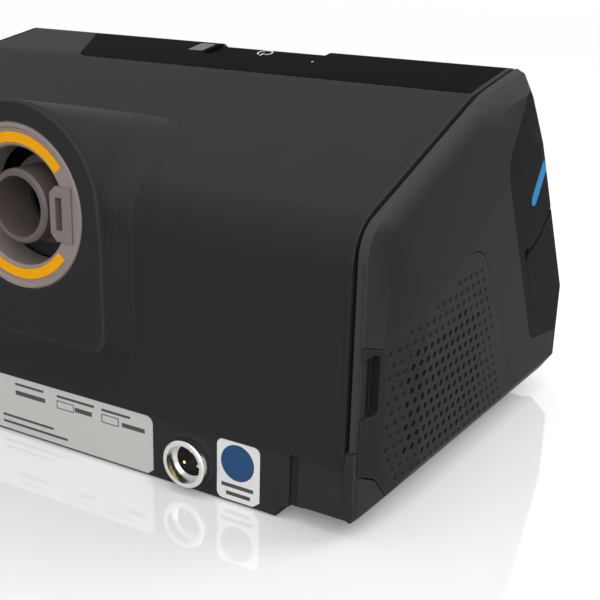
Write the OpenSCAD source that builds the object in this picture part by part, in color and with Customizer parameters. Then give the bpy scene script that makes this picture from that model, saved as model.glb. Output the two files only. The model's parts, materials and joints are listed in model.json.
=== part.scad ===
// Bedside breathing-therapy machine with a slide-out water tub.
// Frame: origin on the table under the middle, +X towards the tub, front towards -Y, +Z up.

/* [Body] */
// Width of the body from end to end
body_w = 205; // [203:0.5:212]
// Depth from the front lip to the face of the outlet boss
body_d = 150; // [149:0.5:154]
// Height above the table
body_h = 116; // [115:0.5:119]
// How far the outlet boss stands off the rear wall
boss_out = 6; // [5:0.5:8]
// Wall of the moulded shells
wall = 2.2; // [1.8:0.1:2.4]
// How far the rear wall's shoulder lies below the crest
shoulder_drop = 30.6; // [29:0.2:32]
// Slope of the roof in degrees
roof_slope = 20.9; // [20:0.1:21.5]
// Height at which the sloped front meets the front lip
lip_z = 38.5; // [37:0.5:40]
// Underside of the shells above the table
base_z = 4.4; // [4:0.1:5]
// Lower edge of the rear shell above the table
shell_edge_z = 21; // [20.6:0.1:22]

/* [Ends] */
// Distance of each decorative groove from the body's end
groove_in = 6.6; // [6.3:0.1:7]
// Width of the decorative groove
groove_w = 1.2; // [0.8:0.1:1.4]
// Height of the slim rail beside the groove
rail_h = 0.5; // [0.3:0.1:0.8]
// Gap around inset panels and covers
panel_gap = 0.3; // [0.2:0.05:0.4]

/* [Top band and start button] */
// Thickness of the glossy top band
band_t = 1.4; // [1.2:0.1:1.6]
// Depth of the start button below the band
button_drop = 1; // [0.7:0.1:1.3]
// Travel of the start button
start_travel = 0.8; // [0.6:0.1:1]
// Left end of the start button's opening
start_x0 = -33; // [-35:0.5:-32]
// Right end of the start button's opening
start_x1 = 10; // [9:0.5:10.5]

/* [Display and dial] */
// Width of the display lens
lcd_w = 62; // [60:0.5:63]
// Height of the display lens along the slope
lcd_l = 48; // [46:0.5:50]
// Distance of the display's middle from the body's left end
lcd_in = 43.5; // [42.5:0.5:44]
// Distance of the display's middle down the slope
lcd_v = 38; // [37:0.5:40]
// Position of the dial across the front
dial_x = -8; // [-9:0.5:-7.5]
// Distance of the dial down the slope
dial_v = 30; // [29:0.5:32]
// Radius of the dial
dial_r = 15; // [14:0.5:16]
// How far the dial stands off the front
dial_h = 8; // [7:0.5:9]
// Push travel of the dial
dial_travel = 0.6; // [0.4:0.1:0.8]
// Radius of the home button
home_r = 6; // [5:0.5:7]
// Distance of the home button down the slope
home_v = 62; // [61:0.5:64]
// Travel of the home button
home_travel = 0.6; // [0.4:0.1:0.8]

/* [Outlet] */
// Outlet position across the rear
outlet_x = 12; // [11.5:0.5:12.5]
// How far the outlet's middle lies below the crest
outlet_drop = 38.5; // [37.5:0.5:39]
// Half width of the boss's face
boss_r = 31; // [30:0.5:32]
// Lower edge of the boss's face above the table
boss_z0 = 38; // [37:0.5:40]
// Outer radius of the grey ring
ring_r = 24.5; // [24:0.5:25]
// Inner radius of the grey ring
ring_in_r = 17.5; // [17:0.5:18]
// Outer radius of the 22 mm air connector
port_r = 11; // [10.8:0.1:11.2]
// Bore radius of the air connector
port_bore_r = 9; // [8.5:0.1:9.4]
// Height of the pogo contact block
contact_h = 16; // [15:0.5:17]

/* [Power inlet] */
// Inlet position across the rear
inlet_x = -45; // [-46:0.5:-44]
// Inlet height above the table
inlet_z = 9.8; // [9.6:0.1:10]
// Outer radius of the inlet's metal shell
inlet_r = 7.3; // [7:0.1:7.6]
// Bore radius of the inlet at its mouth
inlet_bore_r = 5.8; // [5.5:0.1:6]

/* [Plinth and labels] */
// Distance of the raised plinth's ends from the body's ends
plinth_in = 28.5; // [28:0.5:30]
// Height of the plinth
plinth_h = 20.5; // [19.5:0.1:20.5]
// Underside of the plinth above the table
plinth_z0 = 0.5; // [0.4:0.1:0.8]
// Thickness of the label plates
label_t = 0.4; // [0.3:0.1:0.5]

/* [Filter] */
// Spacing of the air holes
hole_pitch = 4; // [3.8:0.1:4.4]
// Diameter of the air holes
hole_d = 2.2; // [1.8:0.1:2.2]
// Length of the air filter
filter_l = 56; // [54:0.5:58]
// Height of the air filter
filter_h = 36; // [34:0.5:38]
// Thickness of the air filter
filter_t = 5; // [4:0.5:5]

/* [Memory card] */
// Push travel of the card in its socket
card_travel = 1.2; // [1:0.1:1.5]

/* [Blower] */
// Blower position across the body
blower_x = -46; // [-47:0.5:-45]
// Distance of the blower's middle from the body's rear wall
blower_in = 41; // [40.5:0.5:42]
// Outer radius of the blower housing
blower_r = 34; // [33:0.5:34]
// Outer radius of the impeller
impeller_r = 26; // [24:0.5:27]
// Number of impeller blades
blades = 9; // [7:1:11]
// Radius of the motor shaft
shaft_r = 1.5; // [1.25:0.05:1.75]

/* [Water tub] */
// Left side of the tub
tub_x0 = 18.5; // [18:0.5:19]
// Distance of the tub's right side from the body's end
tub_in = 9.5; // [9:0.5:10.5]
// Distance of the tub's rear wall from the body's rear wall
tub_back = 25; // [25:0.5:26]
// Wall of the tub
tub_wall = 1.8; // [1.5:0.1:2]
// Height of the tub's rim above the table
tub_rim_z = 58; // [56:0.5:59]
// How far the tub's lid lies below the crest
lid_drop = 31; // [30:0.5:32]
// Radius of the tub's air ports
tub_port_r = 8.5; // [8:0.1:9]

/* [Hidden] */
$fn = 48;

fit = 0.3;        // clearance between loose neighbours
run = 0.04;       // radial clearance of a shaft in its bore
big = 400;        // longer than anything here

half_w = body_w / 2;
groove_x = half_w - groove_in;
shoulder_z = body_h - shoulder_drop;
outlet_z = body_h - outlet_drop;
lid_z = body_h - lid_drop;
rear_y = body_d / 2 - boss_out;
lcd_x = lcd_in - half_w;
plinth_x = half_w - plinth_in;
tub_x1 = half_w - tub_in;
tub_y1 = rear_y - tub_back;
blower_y = rear_y - blower_in;
boss_y = body_d / 2;
front_y = -body_d / 2;
ridge_y = rear_y - 68;
crest_y = rear_y - 97.5;
crest_r = 5;
ridge_z = shoulder_z + (rear_y - ridge_y) * tan(roof_slope);
house_x = groove_x - groove_w / 2;
end_x = groove_x + groove_w / 2;

// air ports in the back of the tub
tub_out_x = 32;
tub_in_x = 66;
tub_port_z = lid_z - 14;

// ---- outline tools: corner lists run anticlockwise in the (y, z) plane ----
function unit(v) = v / norm(v);
function inward(a, b) = let (u = unit(b - a)) [-u[1], u[0]];
function insetCorner(a, p, c, d1, d2) =
  let (m = inward(a, p), n = inward(p, c), w = m[0] * n[1] - m[1] * n[0])
  p + [d1 * n[1] - d2 * m[1], d2 * m[0] - d1 * n[0]] / w;
// inset each edge i of the outline by d[i]; edge i runs from corner i to corner i + 1
function insetEdges(pts, d) =
  let (n = len(pts))
  [for (i = [0:n - 1]) insetCorner(pts[(i + n - 1) % n], pts[i], pts[(i + 1) % n], d[(i + n - 1) % n], d[i])];
function same(n, d) = [for (i = [1:n]) d];
function arcCorner(a, p, c, r) =
  let (
    u = unit(a - p),
    v = unit(c - p),
    half = acos(u * v) / 2,
    o = p + unit(u + v) * r / sin(half),
    s = p + u * r / tan(half) - o,
    e = p + v * r / tan(half) - o,
    a0 = atan2(s[1], s[0]),
    turn = ((atan2(e[1], e[0]) - a0 + 540) % 360) - 180,
    n = max(2, ceil(abs(turn) / (r < 2.5 ? 22 : r < 9 ? 13 : 8)))
  )
  [for (k = [0:n]) o + r * [cos(a0 + turn * k / n), sin(a0 + turn * k / n)]];
function roundCorners(pts, r) =
  let (m = len(pts))
  [for (i = [0:m - 1])
    for (q = r[i] < 0.05 ? [pts[i]] : arcCorner(pts[(i + m - 1) % m], pts[i], pts[(i + 1) % m], r[i])) q];

// highest point of a rounded crest stays at body_h
function crestLift(p) =
  let (m = inward([ridge_y, ridge_z], p), n = inward(p, [front_y, lip_z]))
  crest_r * (-(m[1] + n[1]) / (1 + m * n) - 1);
crest_z = body_h + crestLift([crest_y, body_h]);

side_corners = [
  [rear_y, base_z], [rear_y, shoulder_z], [ridge_y, ridge_z],
  [crest_y, crest_z], [front_y, lip_z], [front_y, base_z]
];
side_radii = [3, 14, 40, crest_r, 20, 10];
function side(d) = roundCorners(insetEdges(side_corners, same(6, d)), [for (r = side_radii) max(r - d, 0.6)]);
front_tilt = atan2(crest_z - lip_z, crest_y - front_y);
band_tilt = atan2(crest_z - ridge_z, ridge_y - crest_y);
// where the sloped front lies at a height
function frontY(z) = front_y + max(0, z - lip_z) / tan(front_tilt);

module along_x(x0, x1) {
  translate([x0, 0, 0]) rotate([90, 0, 90]) linear_extrude(x1 - x0) children();
}
module along_y(y0, y1) {
  translate([0, y1, 0]) rotate([90, 0, 0]) linear_extrude(y1 - y0) children();
}
// a rounded rectangle between two corners
module plate(a, b, r) {
  polygon(roundCorners([a, [b[0], a[1]], b, [a[0], b[1]]], same(4, r)));
}
module box(a, b) {
  translate(a) cube(b - a);
}
// frame on the sloped front: x across, v down the slope from the crest, w outwards
module on_front(x, v, w = 0) {
  translate([x, crest_y - v * cos(front_tilt), crest_z - v * sin(front_tilt)])
    rotate([front_tilt, 0, 0]) translate([0, 0, w]) children();
}
// frame on the top band: v towards the front from the ridge, w outwards
module on_band(x, v, w = 0) {
  translate([x, ridge_y - v * cos(band_tilt), ridge_z + v * sin(band_tilt)])
    rotate([-band_tilt, 0, 0]) translate([0, 0, w]) children();
}
module shell_x(x0, x1, d0, d1) {
  along_x(x0, x1) difference() {
    polygon(side(d0));
    polygon(side(d1));
  }
}

// ---- end caps ----
shoulder_x = end_x + 2.1;
crease_x = half_w - 2;
function endSlice(d, t) = roundCorners(insetEdges(side_corners, d + same(6, t)), [3, 10, 60, 5, 18, 8]);
slice_t = 0.3;
// domed end, shrunk inwards by t
module end_solid(t) {
  hull() {
    along_x(end_x - 6, end_x + slice_t) polygon(endSlice(same(6, 0), t));
    along_x(shoulder_x - t / 2 - slice_t, shoulder_x - t / 2)
      polygon(endSlice([1.4, 1, 1, 0.3, 0.2, 1.8], t));
    along_x(crease_x - t - slice_t, crease_x - t) polygon(endSlice([11, 7.5, 7.5, 1, 0.7, 3.9], t / 2));
    along_x(half_w - t - slice_t, half_w - t) polygon(insetEdges(side_corners, [31, 32, 26, 2.4, 2.2, 7.5]));
  }
}
module end_shell() {
  difference() {
    end_solid(0);
    end_solid(wall);
    box([-big, -big, -big], [end_x, big, big]);
  }
}
module mirrored(left) {
  if (left) mirror([1, 0, 0]) children();
  else children();
}

// outline of the inset front panel on the end face
insert_corners = [
  [front_y - 15, body_h - 5], [front_y - 15, 19.2], [front_y + 28.1, 24.8],
  [crest_y + 16.2, body_h - 27.6], [crest_y, body_h - 7]
];
insert_radii = [0, 0, 8, 10, 2];
module insert_zone(gap) {
  polygon(roundCorners(insetEdges(insert_corners, same(len(insert_corners), gap)), insert_radii));
}

// filter cover outline on the end face
cover_z0 = base_z + 3.2;
filter_corners = [
  [rear_y - 15, cover_z0], [rear_y - 8.7, 15.8], [rear_y + 6, 22.5], [rear_y + 6, 58.1],
  [rear_y - 10, 52.9], [rear_y - 65.8, 70.7], [rear_y - 104.4, cover_z0]
];
filter_radii = [2, 2, 0, 0, 2, 13.5, 3];
module filter_zone(gap) {
  polygon(roundCorners(insetEdges(filter_corners, same(len(filter_corners), gap)), filter_radii));
}
cover_x = shoulder_x - 0.1;   // the cover starts outside this
filter_foot = filter_corners[6];
hinge_v = filter_corners[5] - filter_foot;
filter_hinge_a = atan2(hinge_v[0], hinge_v[1]);
hook_t = 1.2;
hook_l = 6;
// lower rear corner of each end, which belongs to the base
module corner_zone(gap) {
  polygon(insetEdges(
    [[filter_corners[0][0], -10], [rear_y + 6, -10], filter_corners[2], filter_corners[1], filter_corners[0]],
    same(5, gap)
  ));
}
corner_y1 = rear_y - 0.6;   // rear face of the base's corners
post_y = rear_y + 0.4;      // rear face of the posts
post_z = 26;
// frame on the filter cover's front edge: z along the edge, +y towards the cover, x = 0 on the end face
module on_filter_hinge(z = 0) {
  translate([-half_w, filter_foot[0], filter_foot[1]])
    rotate([-filter_hinge_a, 0, 0]) translate([0, 0, z]) children();
}

// ---- casing ----
// rings of matched points joined into one closed skin, each end a fan about its middle
function middle(ring) = [for (k = [0:2]) (max([for (p = ring) p[k]]) + min([for (p = ring) p[k]])) / 2];
module loft(rings) {
  n = len(rings[0]);
  m = len(rings);
  polyhedron(
    concat([for (r = rings) each r], [middle(rings[0]), middle(rings[m - 1])]),
    [for (i = [0:n - 1])
      let (j = (i + 1) % n, last = (m - 1) * n)
      each concat(
        [for (a = [0:n:last - 1]) each [[a + j, a + i, a + n + i], [a + j, a + n + i, a + n + j]]],
        [[i, j, m * n], [last + j, last + i, m * n + 1]]
      )]
  );
}
shoulder_r = 14;
shoulder_o = [rear_y - shoulder_r, shoulder_z - shoulder_r * tan((90 - roof_slope) / 2)];
// distance of a point outside the rear wall, the shoulder and the roof
function standOff(y, z) =
  let (v = [y, z] - shoulder_o, a = atan2(v[1], v[0]))
  (a <= 0 ? v[0] : a < 90 - roof_slope ? norm(v) : v * [sin(roof_slope), cos(roof_slope)]) - shoulder_r;
// the boss flares out to its skirt as it nears the shell
boss_skirt = 7;
skirt_h = 6.6;
boss_run = 44;        // from the boss's face to where its top meets the roof
boss_sink = 8.6;      // how far its top falls over that run
boss_narrow = 5.5;
boss_foot_r = 5;
boss_step = 0.4;      // thickness of the skirt's edge
boss_rows = concat([for (k = [0:13]) 0.075 * boss_out * k],
  [for (y = [0.6, 1.6, 3, 5, 7.5, 10.5, 14, 18, 22, 26, 29, 31.5, 33.5, 35, 36.2, 37]) boss_out + y]);
boss_edge = [1.1, 0.45, 0.1, 0];
flare_steps = [-0.06, 0.08, 0.2, 0.34, 0.5, 0.72, 1];
function flare(y, z) =
  let (k = max(0, standOff(y, z) - boss_step) / (skirt_h - boss_step))
  boss_skirt * pow(max(0, 1 - k), 2);
// height at which a row of the boss stands off the shell by d
function levelAt(y, d) =
  let (r = shoulder_r + d, v = y - shoulder_o[0], w = r * r - v * v)
    shoulder_o[1] + (v < r * sin(roof_slope) ? (r - v * sin(roof_slope)) / cos(roof_slope)
      : sign(w) * sqrt(abs(w)));
// half width, rise and roundness of the boss's arch, k of its run from the face and d inside its skin
function archWidth(k, d) = boss_r - d - boss_narrow * pow(k, 1.2);
function archRise(k, d) = boss_r - d - boss_sink * k;
function archPower(k) = 2 / (2 + 3.4 * k);
// one row: its right half from the foot of the flare over the arch to the top
function bossHalf(y, a, h, e) =
  let (
    reach = min(skirt_h, 0.85 * max(0.2, standOff(y, outlet_z + h))),
    z0 = max(outlet_z, levelAt(y, reach)),
    u0 = asin(min(0.999, pow((z0 - outlet_z) / h, 1 / e))),
    arch = [for (i = [1:8]) let (u = u0 + (90 - u0) * i / 8)
      [a * pow(cos(u), e), outlet_z + h * pow(sin(u), e)]],
    foot = [for (f = flare_steps)
      let (z = levelAt(y, reach * f), t = max(0, (z - outlet_z) / h))
        [a * pow(1 - pow(min(1, t), 2 / e), e / 2), z]]
  )
  concat(foot, arch);
function bossRing(y, d) =
  let (
    k = (boss_y - y) / boss_run,
    a = archWidth(k, d),
    foot_z = boss_z0 + d + boss_foot_r,
    half = [for (q = bossHalf(y, a, archRise(k, d), archPower(k)))
      [q[0] + flare(y, q[1]) * min(1, 1.15 * q[0] / a), q[1]]],
    n = len(half)
  )
  concat(
    [for (q = half) [outlet_x + q[0], y, q[1]]],
    [for (i = [n - 2:-1:0]) [outlet_x - half[i][0], y, half[i][1]]],
    [for (u = [180:15:360])
      let (g = u < 270 ? -1 : 1, r = boss_foot_r + flare(y, foot_z))
      if (u != 270) [outlet_x + g * (a - boss_foot_r) + r * cos(u), y, foot_z + r * sin(u)]]
  );
module boss_solid() {
  rings = [for (i = [0:len(boss_rows) - 1]) bossRing(boss_y - boss_rows[i],
    i < len(boss_edge) ? boss_edge[i] : 0)];
  // its last row sinks under the roof
  sunk = [for (q = rings[len(rings) - 1]) q - [0, 1.5, 1.6]];
  loft(concat(rings, [sunk]));
}
// hollow under the boss: arches with straight sides
core_ks = [0, 0.1, 0.25, 0.4, 0.55, 0.7, 0.86];
module boss_core() {
  loft([for (k = core_ks)
    let (y = boss_y - max(wall, k * boss_run), a = archWidth(k, wall), h = archRise(k, wall),
      e = archPower(k))
    concat(
      [for (u = [0:10:90]) [outlet_x + a * pow(cos(u), e), y, outlet_z + h * pow(sin(u), e)]],
      [for (u = [80:-10:0]) [outlet_x - a * pow(cos(u), e), y, outlet_z + h * pow(sin(u), e)]],
      [[outlet_x - a, y, boss_z0 + wall], [outlet_x + a, y, boss_z0 + wall]]
    )]);
}
band_outline = [
  [-house_x + 1.3, crest_y - 20], [66, crest_y - 20], [66, crest_y + 3], [52, ridge_y],
    [-house_x + 1.3, ridge_y]
];
module band_plan(gap) {
  polygon(roundCorners(insetEdges(band_outline, same(5, gap)), [0, 0, 4, 6, 0.5]));
}
start_y = ridge_y - 14.5;
start_low_z = body_h - 9;
module start_opening(gap) {
  box([start_x0 + gap, -big, start_low_z - (1.3 - gap)], [start_x1 - gap, start_y - gap, big]);
}
roof_edge_y = crest_y + 2;
rear_screw = [half_w - 16.5, rear_y - 9];
boss_screw_r = 4;
screw_boss_h = 22;
screw_hole_r = 1.3;
ring_seat = 4.2;
seat_t = 3.2;
seat_bore_r = ring_r - 2;
tongue = 4;

module rear_housing() color("#353535") {
  difference() {
    union() {
      along_x(-house_x, house_x) polygon(side(0));
      for (s = [-1, 1])
        along_x(s > 0 ? house_x - 1.2 : -house_x, s > 0 ? house_x : -house_x + 1.2) difference() {
          polygon(side(-rail_h));
          translate([-big, -big]) square([big + ridge_y + 0.5, 2 * big]);
        }
      boss_solid();
    }
    difference() {
      union() {
        along_x(-house_x - 1, house_x + 1) polygon(side(wall));
        boss_core();
      }
      // screw bosses beside the rear corners
      for (s = [-1, 1]) {
        translate([s * rear_screw[0], rear_screw[1], shell_edge_z + 4])
          cylinder(h = screw_boss_h, r = boss_screw_r);
        translate([s * rear_screw[0] - 1, rear_screw[1] + 2, shell_edge_z + 4]) cube([2, 10, screw_boss_h]);
      }
      // ribs that carry the start button's board
      for (x = [start_x0 - 8.5, start_x1 + 5.5])
        on_band(x, start_mid_v, start_board_w) translate([0, -4.5, 0]) cube([3, 9, 12]);
      // rim that carries the outlet ring
      along_y(boss_y - ring_seat - seat_t, boss_y - 1) difference() {
        translate([outlet_x, outlet_z]) circle(r = boss_r);
        translate([outlet_x, outlet_z]) circle(r = seat_bore_r);
      }
    }
    // open below and in front
    box([-big, -big, -big], [big, big, shell_edge_z]);
    box([-big, -big, -big], [big, roof_edge_y, big]);
    box([-big, -big, -big], [big, roof_edge_y + 8, body_h - 12]);
    // recess of the top band
    intersection() {
      translate([0, 0, shoulder_z]) linear_extrude(60) band_plan(0);
      shell_x(-house_x, house_x, -1, band_t + 0.1);
    }
    start_opening(0);
    // seat of the outlet ring
    translate([outlet_x, boss_y + 1, outlet_z]) rotate([90, 0, 0])
      cylinder(h = ring_seat + 1, r = ring_r + 0.15);
    translate([outlet_x, boss_y + 1, outlet_z]) rotate([90, 0, 0]) cylinder(h = 20, r = seat_bore_r);
    // screw holes
    for (s = [-1, 1])
      translate([s * rear_screw[0], rear_screw[1], shell_edge_z]) cylinder(h = 22, r = screw_hole_r);
  }
}

module groove_web() {
  along_x(end_x, end_x + 1.6) difference() {
    polygon(side(0.6));
    polygon(side(wall + 1.7));
  }
}
module end_bezel(left) {
  mirrored(left) {
    difference() {
      end_shell();
      if (left) {
        along_x(cover_x - 0.15, half_w + 1) filter_zone(0);
        grip_room();
      }
      along_x(end_x - 1, half_w + 1) insert_zone(0);
      // corner of the base and its post
      along_x(end_x - 1, half_w + 1) corner_zone(0);
      box([end_x - 1, rear_y - 8, -1], [cover_x, big, post_z + fit]);
    }
    // tongue that slips inside the housing and closes the groove
    difference() {
      shell_x(house_x - tongue, end_x + 0.01, wall + 0.3, wall + 1.9);
      box([-big, -big, -big], [big, crest_y + 9, big]);
      box([-big, -big, -big], [big, big, 27]);
      if (left) translate([0, 1, 0]) grip_room();
    }
    // web that ties the tongue to the end shell
    difference() {
      groove_web();
      box([-big, -big, -big], [big, crest_y + 9, big]);
      box([-big, -big, -big], [big, big, 27]);
      if (left) grip_room();
    }
  }
}
// room for the cup behind the grip pocket
module grip_room() {
  along_x(end_x - 1, half_w) grip_outline(grip_wall + fit);
}
module left_end_bezel() color("#3a3a3a") {
  end_bezel(true);
}
module right_end_bezel() color("#3a3a3a") {
  end_bezel(false);
}

// ---- base ----
pan_y0 = front_y + 14;
pan_z1 = base_z + wall;
post_r = 3;
board_z = body_h - 54;
board_t = 1.6;
board_x0 = 12.5 - half_w;
board_posts = [[board_x0 + 6, -14], [-7, -14], [-7, rear_y - 27], [board_x0 + 14, rear_y - 9]];
foot_r = 7;
foot_x = half_w - 20.5;
feet = [for (x = [-foot_x, foot_x]) for (y = [front_y + 25, rear_y - 27]) [x, y]];
screw_sink = 7;
plinth_y = rear_y - 0.8;
corner_y = rear_y - 2.5;
corner_x = plinth_x + 7;
module plinth_side() {
  // S-shaped end of the plinth, drawn in the (x, z) plane
  polygon(concat(
    [[-plinth_x, plinth_z0], [plinth_x, plinth_z0]],
    [for (k = [0:6]) [plinth_x + 4 - 4 * cos(90 * k / 6), plinth_z0 + 4 * sin(90 * k / 6)]],
    [[plinth_x + 4, plinth_h], [-plinth_x - 4, plinth_h]],
    [for (k = [6:-1:0]) [-plinth_x - 4 + 4 * cos(90 * k / 6), plinth_z0 + 4 * sin(90 * k / 6)]]
  ));
}
seat = 0.05;   // keeps the faces of joined blocks apart
corner_front = corner_y - 3;
ledge_z = 13.6;
corner_side = [
  [corner_front, base_z + seat], [corner_y1, base_z + seat], [corner_y1, ledge_z],
    [corner_y1 - 0.4, ledge_z + 0.4],
  [corner_y1 - 0.4, shell_edge_z - 0.4], [corner_front, shell_edge_z - 0.4]
];
post_side = [
  [corner_front, 8], [corner_y1 - 0.1, 8], [post_y, ledge_z], [post_y, post_z - 1], [post_y - 1, post_z],
    [corner_front, post_z]
];
// corner beside the rear shell, with the post that closes the groove
module base_corner() {
  intersection() {
    union() {
      intersection() {
        end_shell();
        along_x(end_x - 1, half_w + 1) corner_zone(panel_gap / 2);
        box([0, -big, -big], [big, corner_y1 - seat, big]);
      }
      intersection() {
        union() {
          along_x(corner_x, cover_x - 0.2) polygon(roundCorners(corner_side, [0, 3, 0, 0, 0, 0]));
          along_x(house_x + 0.2, cover_x - 0.2) polygon(post_side);
        }
        along_y(corner_y - 4, big) polygon(roundCorners(
          [[0, base_z + seat], [cover_x - 0.2, base_z + seat], [cover_x - 0.2, post_z + 1], [0, post_z + 1]],
          [0, 4, 0, 0]
        ));
      }
    }
    box([0, -big, 0], [big, big, big]);
  }
}
module base_chassis() color("#2b2b2b") {
  difference() {
    union() {
      // floor pan
      box([-house_x, pan_y0, base_z], [house_x, corner_front + 0.5, pan_z1]);
      box([-corner_x - 1, corner_front, base_z], [corner_x + 1, corner_y, pan_z1]);
      // rear wall of the pan, inside the housing's lower edge
      box([-corner_x - 1, corner_y - wall, base_z], [corner_x + 1, corner_y, shell_edge_z]);
      box([-house_x, corner_y - wall, base_z + 3], [house_x, corner_y, shell_edge_z + 3]);
      // plinth with the labels and the inlet
      along_y(plinth_y - 16, plinth_y) plinth_side();
      // corners beside the rear shell
      for (s = [0, 1])
        mirror([s, 0, 0]) base_corner();
      // hub round the power inlet
      translate([inlet_x, plinth_y, inlet_z]) rotate([-90, 0, 0]) rotate_extrude()
        polygon([[inlet_r - 1, -1], [inlet_r + 1.9, -1], [inlet_r + 1.9, 0], [inlet_r + 1.1, 1.4],
          [inlet_r - 1, 1.4]]);
      // towers for the rear screws
      for (s = [-1, 1])
        translate([s * rear_screw[0], rear_screw[1], base_z])
          cylinder(h = shell_edge_z + 4 - fit - base_z, r = boss_screw_r);
    }
    // hollow of the plinth
    box([-plinth_x + 1, plinth_y - 16 + wall, plinth_z0 + wall],
      [plinth_x - 1, plinth_y - wall, plinth_h - wall]);
    box([-plinth_x - 5, plinth_y - 17, pan_z1], [plinth_x + 5, corner_y - wall, plinth_h + 1]);
    // recesses of the label plates
    along_y(plinth_y - label_t, plinth_y + 1) {
      silver_outline(-0.06);
      white_outline(-0.06);
    }
    // inlet opening
    translate([inlet_x, plinth_y + 5, inlet_z]) rotate([90, 0, 0]) cylinder(h = 24, r = inlet_r + 0.1);
    // screw holes
    for (s = [-1, 1]) {
      translate([s * rear_screw[0], rear_screw[1], base_z - 1]) cylinder(h = 40, r = screw_hole_r + 0.4);
      translate([s * rear_screw[0], rear_screw[1], base_z - 1]) cylinder(h = screw_sink + 1, r = 3);
    }
  }
  // posts for the main board, with their pilot holes
  for (p = board_posts)
    translate([p[0], p[1], base_z]) difference() {
      cylinder(h = board_z - base_z, r = post_r);
      translate([0, 0, board_z - base_z - 8]) cylinder(h = 9, r = pilot_r);
    }
}
module silver_outline(g) {
  outline = insetEdges([[-31, 2.5], [-29, 0.9], [66, 0.9], [66, 19.6], [-31, 19.6]], same(5, g));
  polygon(roundCorners(outline, [0, 0, 0, 0, 2.5]));
}
module white_outline(g) {
  outline = insetEdges([[-68.5, 2.6], [-66.3, 0.9], [-54, 0.9], [-54, 19.4], [-68.5, 19.4]], same(5, g));
  polygon(roundCorners(outline, [0, 0, 2, 2, 2]));
}
module rear_label_plate() color("#bdbdb9") {
  along_y(plinth_y - label_t, plinth_y) silver_outline(0);
}
module disc_label() color("#f4f3f1") {
  along_y(plinth_y - label_t, plinth_y) white_outline(0);
}
module rubber_feet() color("#1a1a1a") {
  for (p = feet)
    translate([p[0], p[1], 0]) cylinder(h = base_z, r = foot_r);
}
screw_head_r = 2.7;
pilot_r = 1;
module screws() color("#9a9a9e") {
  // casing
  for (s = [-1, 1])
    translate([s * rear_screw[0], rear_screw[1], base_z + screw_sink - 2]) {
      cylinder(h = 2, r = screw_head_r);
      cylinder(h = 28, r = screw_hole_r - run);
    }
  // main board
  for (p = board_posts)
    translate([p[0], p[1], board_z]) {
      translate([0, 0, board_t]) cylinder(h = 1.3, r = 2);
      translate([0, 0, -6]) cylinder(h = 6 + board_t, r = pilot_r - run);
    }
}

// ---- front ----
fascia_x1 = 14.4;
tub_front_x0 = fascia_x1 + 0.5;
tub_front_z1 = body_h - 16;
fascia_t = wall + 0.2;
module front_only(gap) {
  difference() {
    children();
    box([-big, roof_edge_y - gap, -big], [big, big, big]);
    box([-big, pan_y0 - gap, -big], [big, big, 40]);
    box([-big, crest_y - 11, -big], [big, big, body_h - 36]);
  }
}
module lens_outline(g) {
  plate([-lcd_w / 2 + g, -lcd_l / 2 + g], [lcd_w / 2 - g, lcd_l / 2 - g], 3);
}
board_w = -6.8;           // front face of the display board, below the fascia's outer face
board_drop = board_w - 1.6;
board_x = [board_x0 - 1, 5];
board_v = [12, 75];
board_mounts = [[board_x0 + 2, 70], [-23.5, 14.5], [2, 14.5], [2, 70]];
module front_fascia() color("#262626") {
  difference() {
    union() {
      front_only(0.2) difference() {
        shell_x(-house_x, house_x, 0, fascia_t);
        box([fascia_x1, -big, -big], [big, big, tub_front_z1 + 0.5]);
      }
      // bosses that carry the display board
      for (p = board_mounts)
        on_front(p[0], p[1], board_w) cylinder(h = -board_w - 1, r = 2.4);
    }
    on_front(lcd_x, lcd_v, -10) linear_extrude(20) lens_outline(-0.15);
    on_front(dial_x, dial_v, -10) cylinder(h = 20, r = dial_shaft_r + 0.6);
    on_front(dial_x, home_v, -10) cylinder(h = 20, r = home_r + fit);
    start_opening(0);
  }
}
module lcd_lens() color("#0c0c0e") {
  on_front(lcd_x, lcd_v, -fascia_t) linear_extrude(fascia_t - 0.15) lens_outline(0);
}
module lcd_module() color("#6f7478") {
  on_front(lcd_x, lcd_v, board_w) linear_extrude(-board_w - fascia_t)
    plate([-lcd_w / 2 + 1, -lcd_l / 2 + 1], [lcd_w / 2 - 1, lcd_l / 2 - 1], 1);
}
module ui_board() color("#1f5c3a") {
  difference() {
    on_front(0, 0, board_drop) linear_extrude(board_w - board_drop)
      plate([board_x[0], -board_v[1]], [board_x[1], -board_v[0]], 2);
    for (p = board_mounts)
      on_front(p[0], p[1], board_drop - 1) cylinder(h = 4, r = 1);
  }
}
dial_shaft_r = 3;
encoder_w = 6.5;
dial_lift = dial_travel + fit;
module dial_knob() color("#1c1c1e") {
  on_front(dial_x, dial_v) {
    difference() {
      rotate_extrude() polygon(concat(
        [[0, dial_lift], [dial_r - 1, dial_lift], [dial_r, dial_lift + 0.7]],
        roundCorners([[dial_r - 0.6, dial_h - 2], [dial_r - 1.4, dial_h], [0, dial_h - 0.8]], [0, 1.1, 0])
      ));
      // finger grooves round the rim
      for (k = [0:35])
        rotate([0, 0, 10 * k]) translate([dial_r + 0.25, 0, 2.4]) cylinder(h = dial_h, r = 0.5);
    }
    translate([0, 0, -fascia_t - 2.4]) cylinder(h = fascia_t + 3.4, r = dial_shaft_r);
  }
}
module dial_ring() color("#8d8f92") {
  on_front(dial_x, dial_v) rotate_extrude()
    polygon([[dial_r + 0.4, 0], [dial_r + 2.6, 0], [dial_r + 2.2, 0.9], [dial_r + 0.8, 1.3],
      [dial_r + 0.4, 0.9]]);
}
rotor_w = [-5.7, -3.4];
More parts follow.
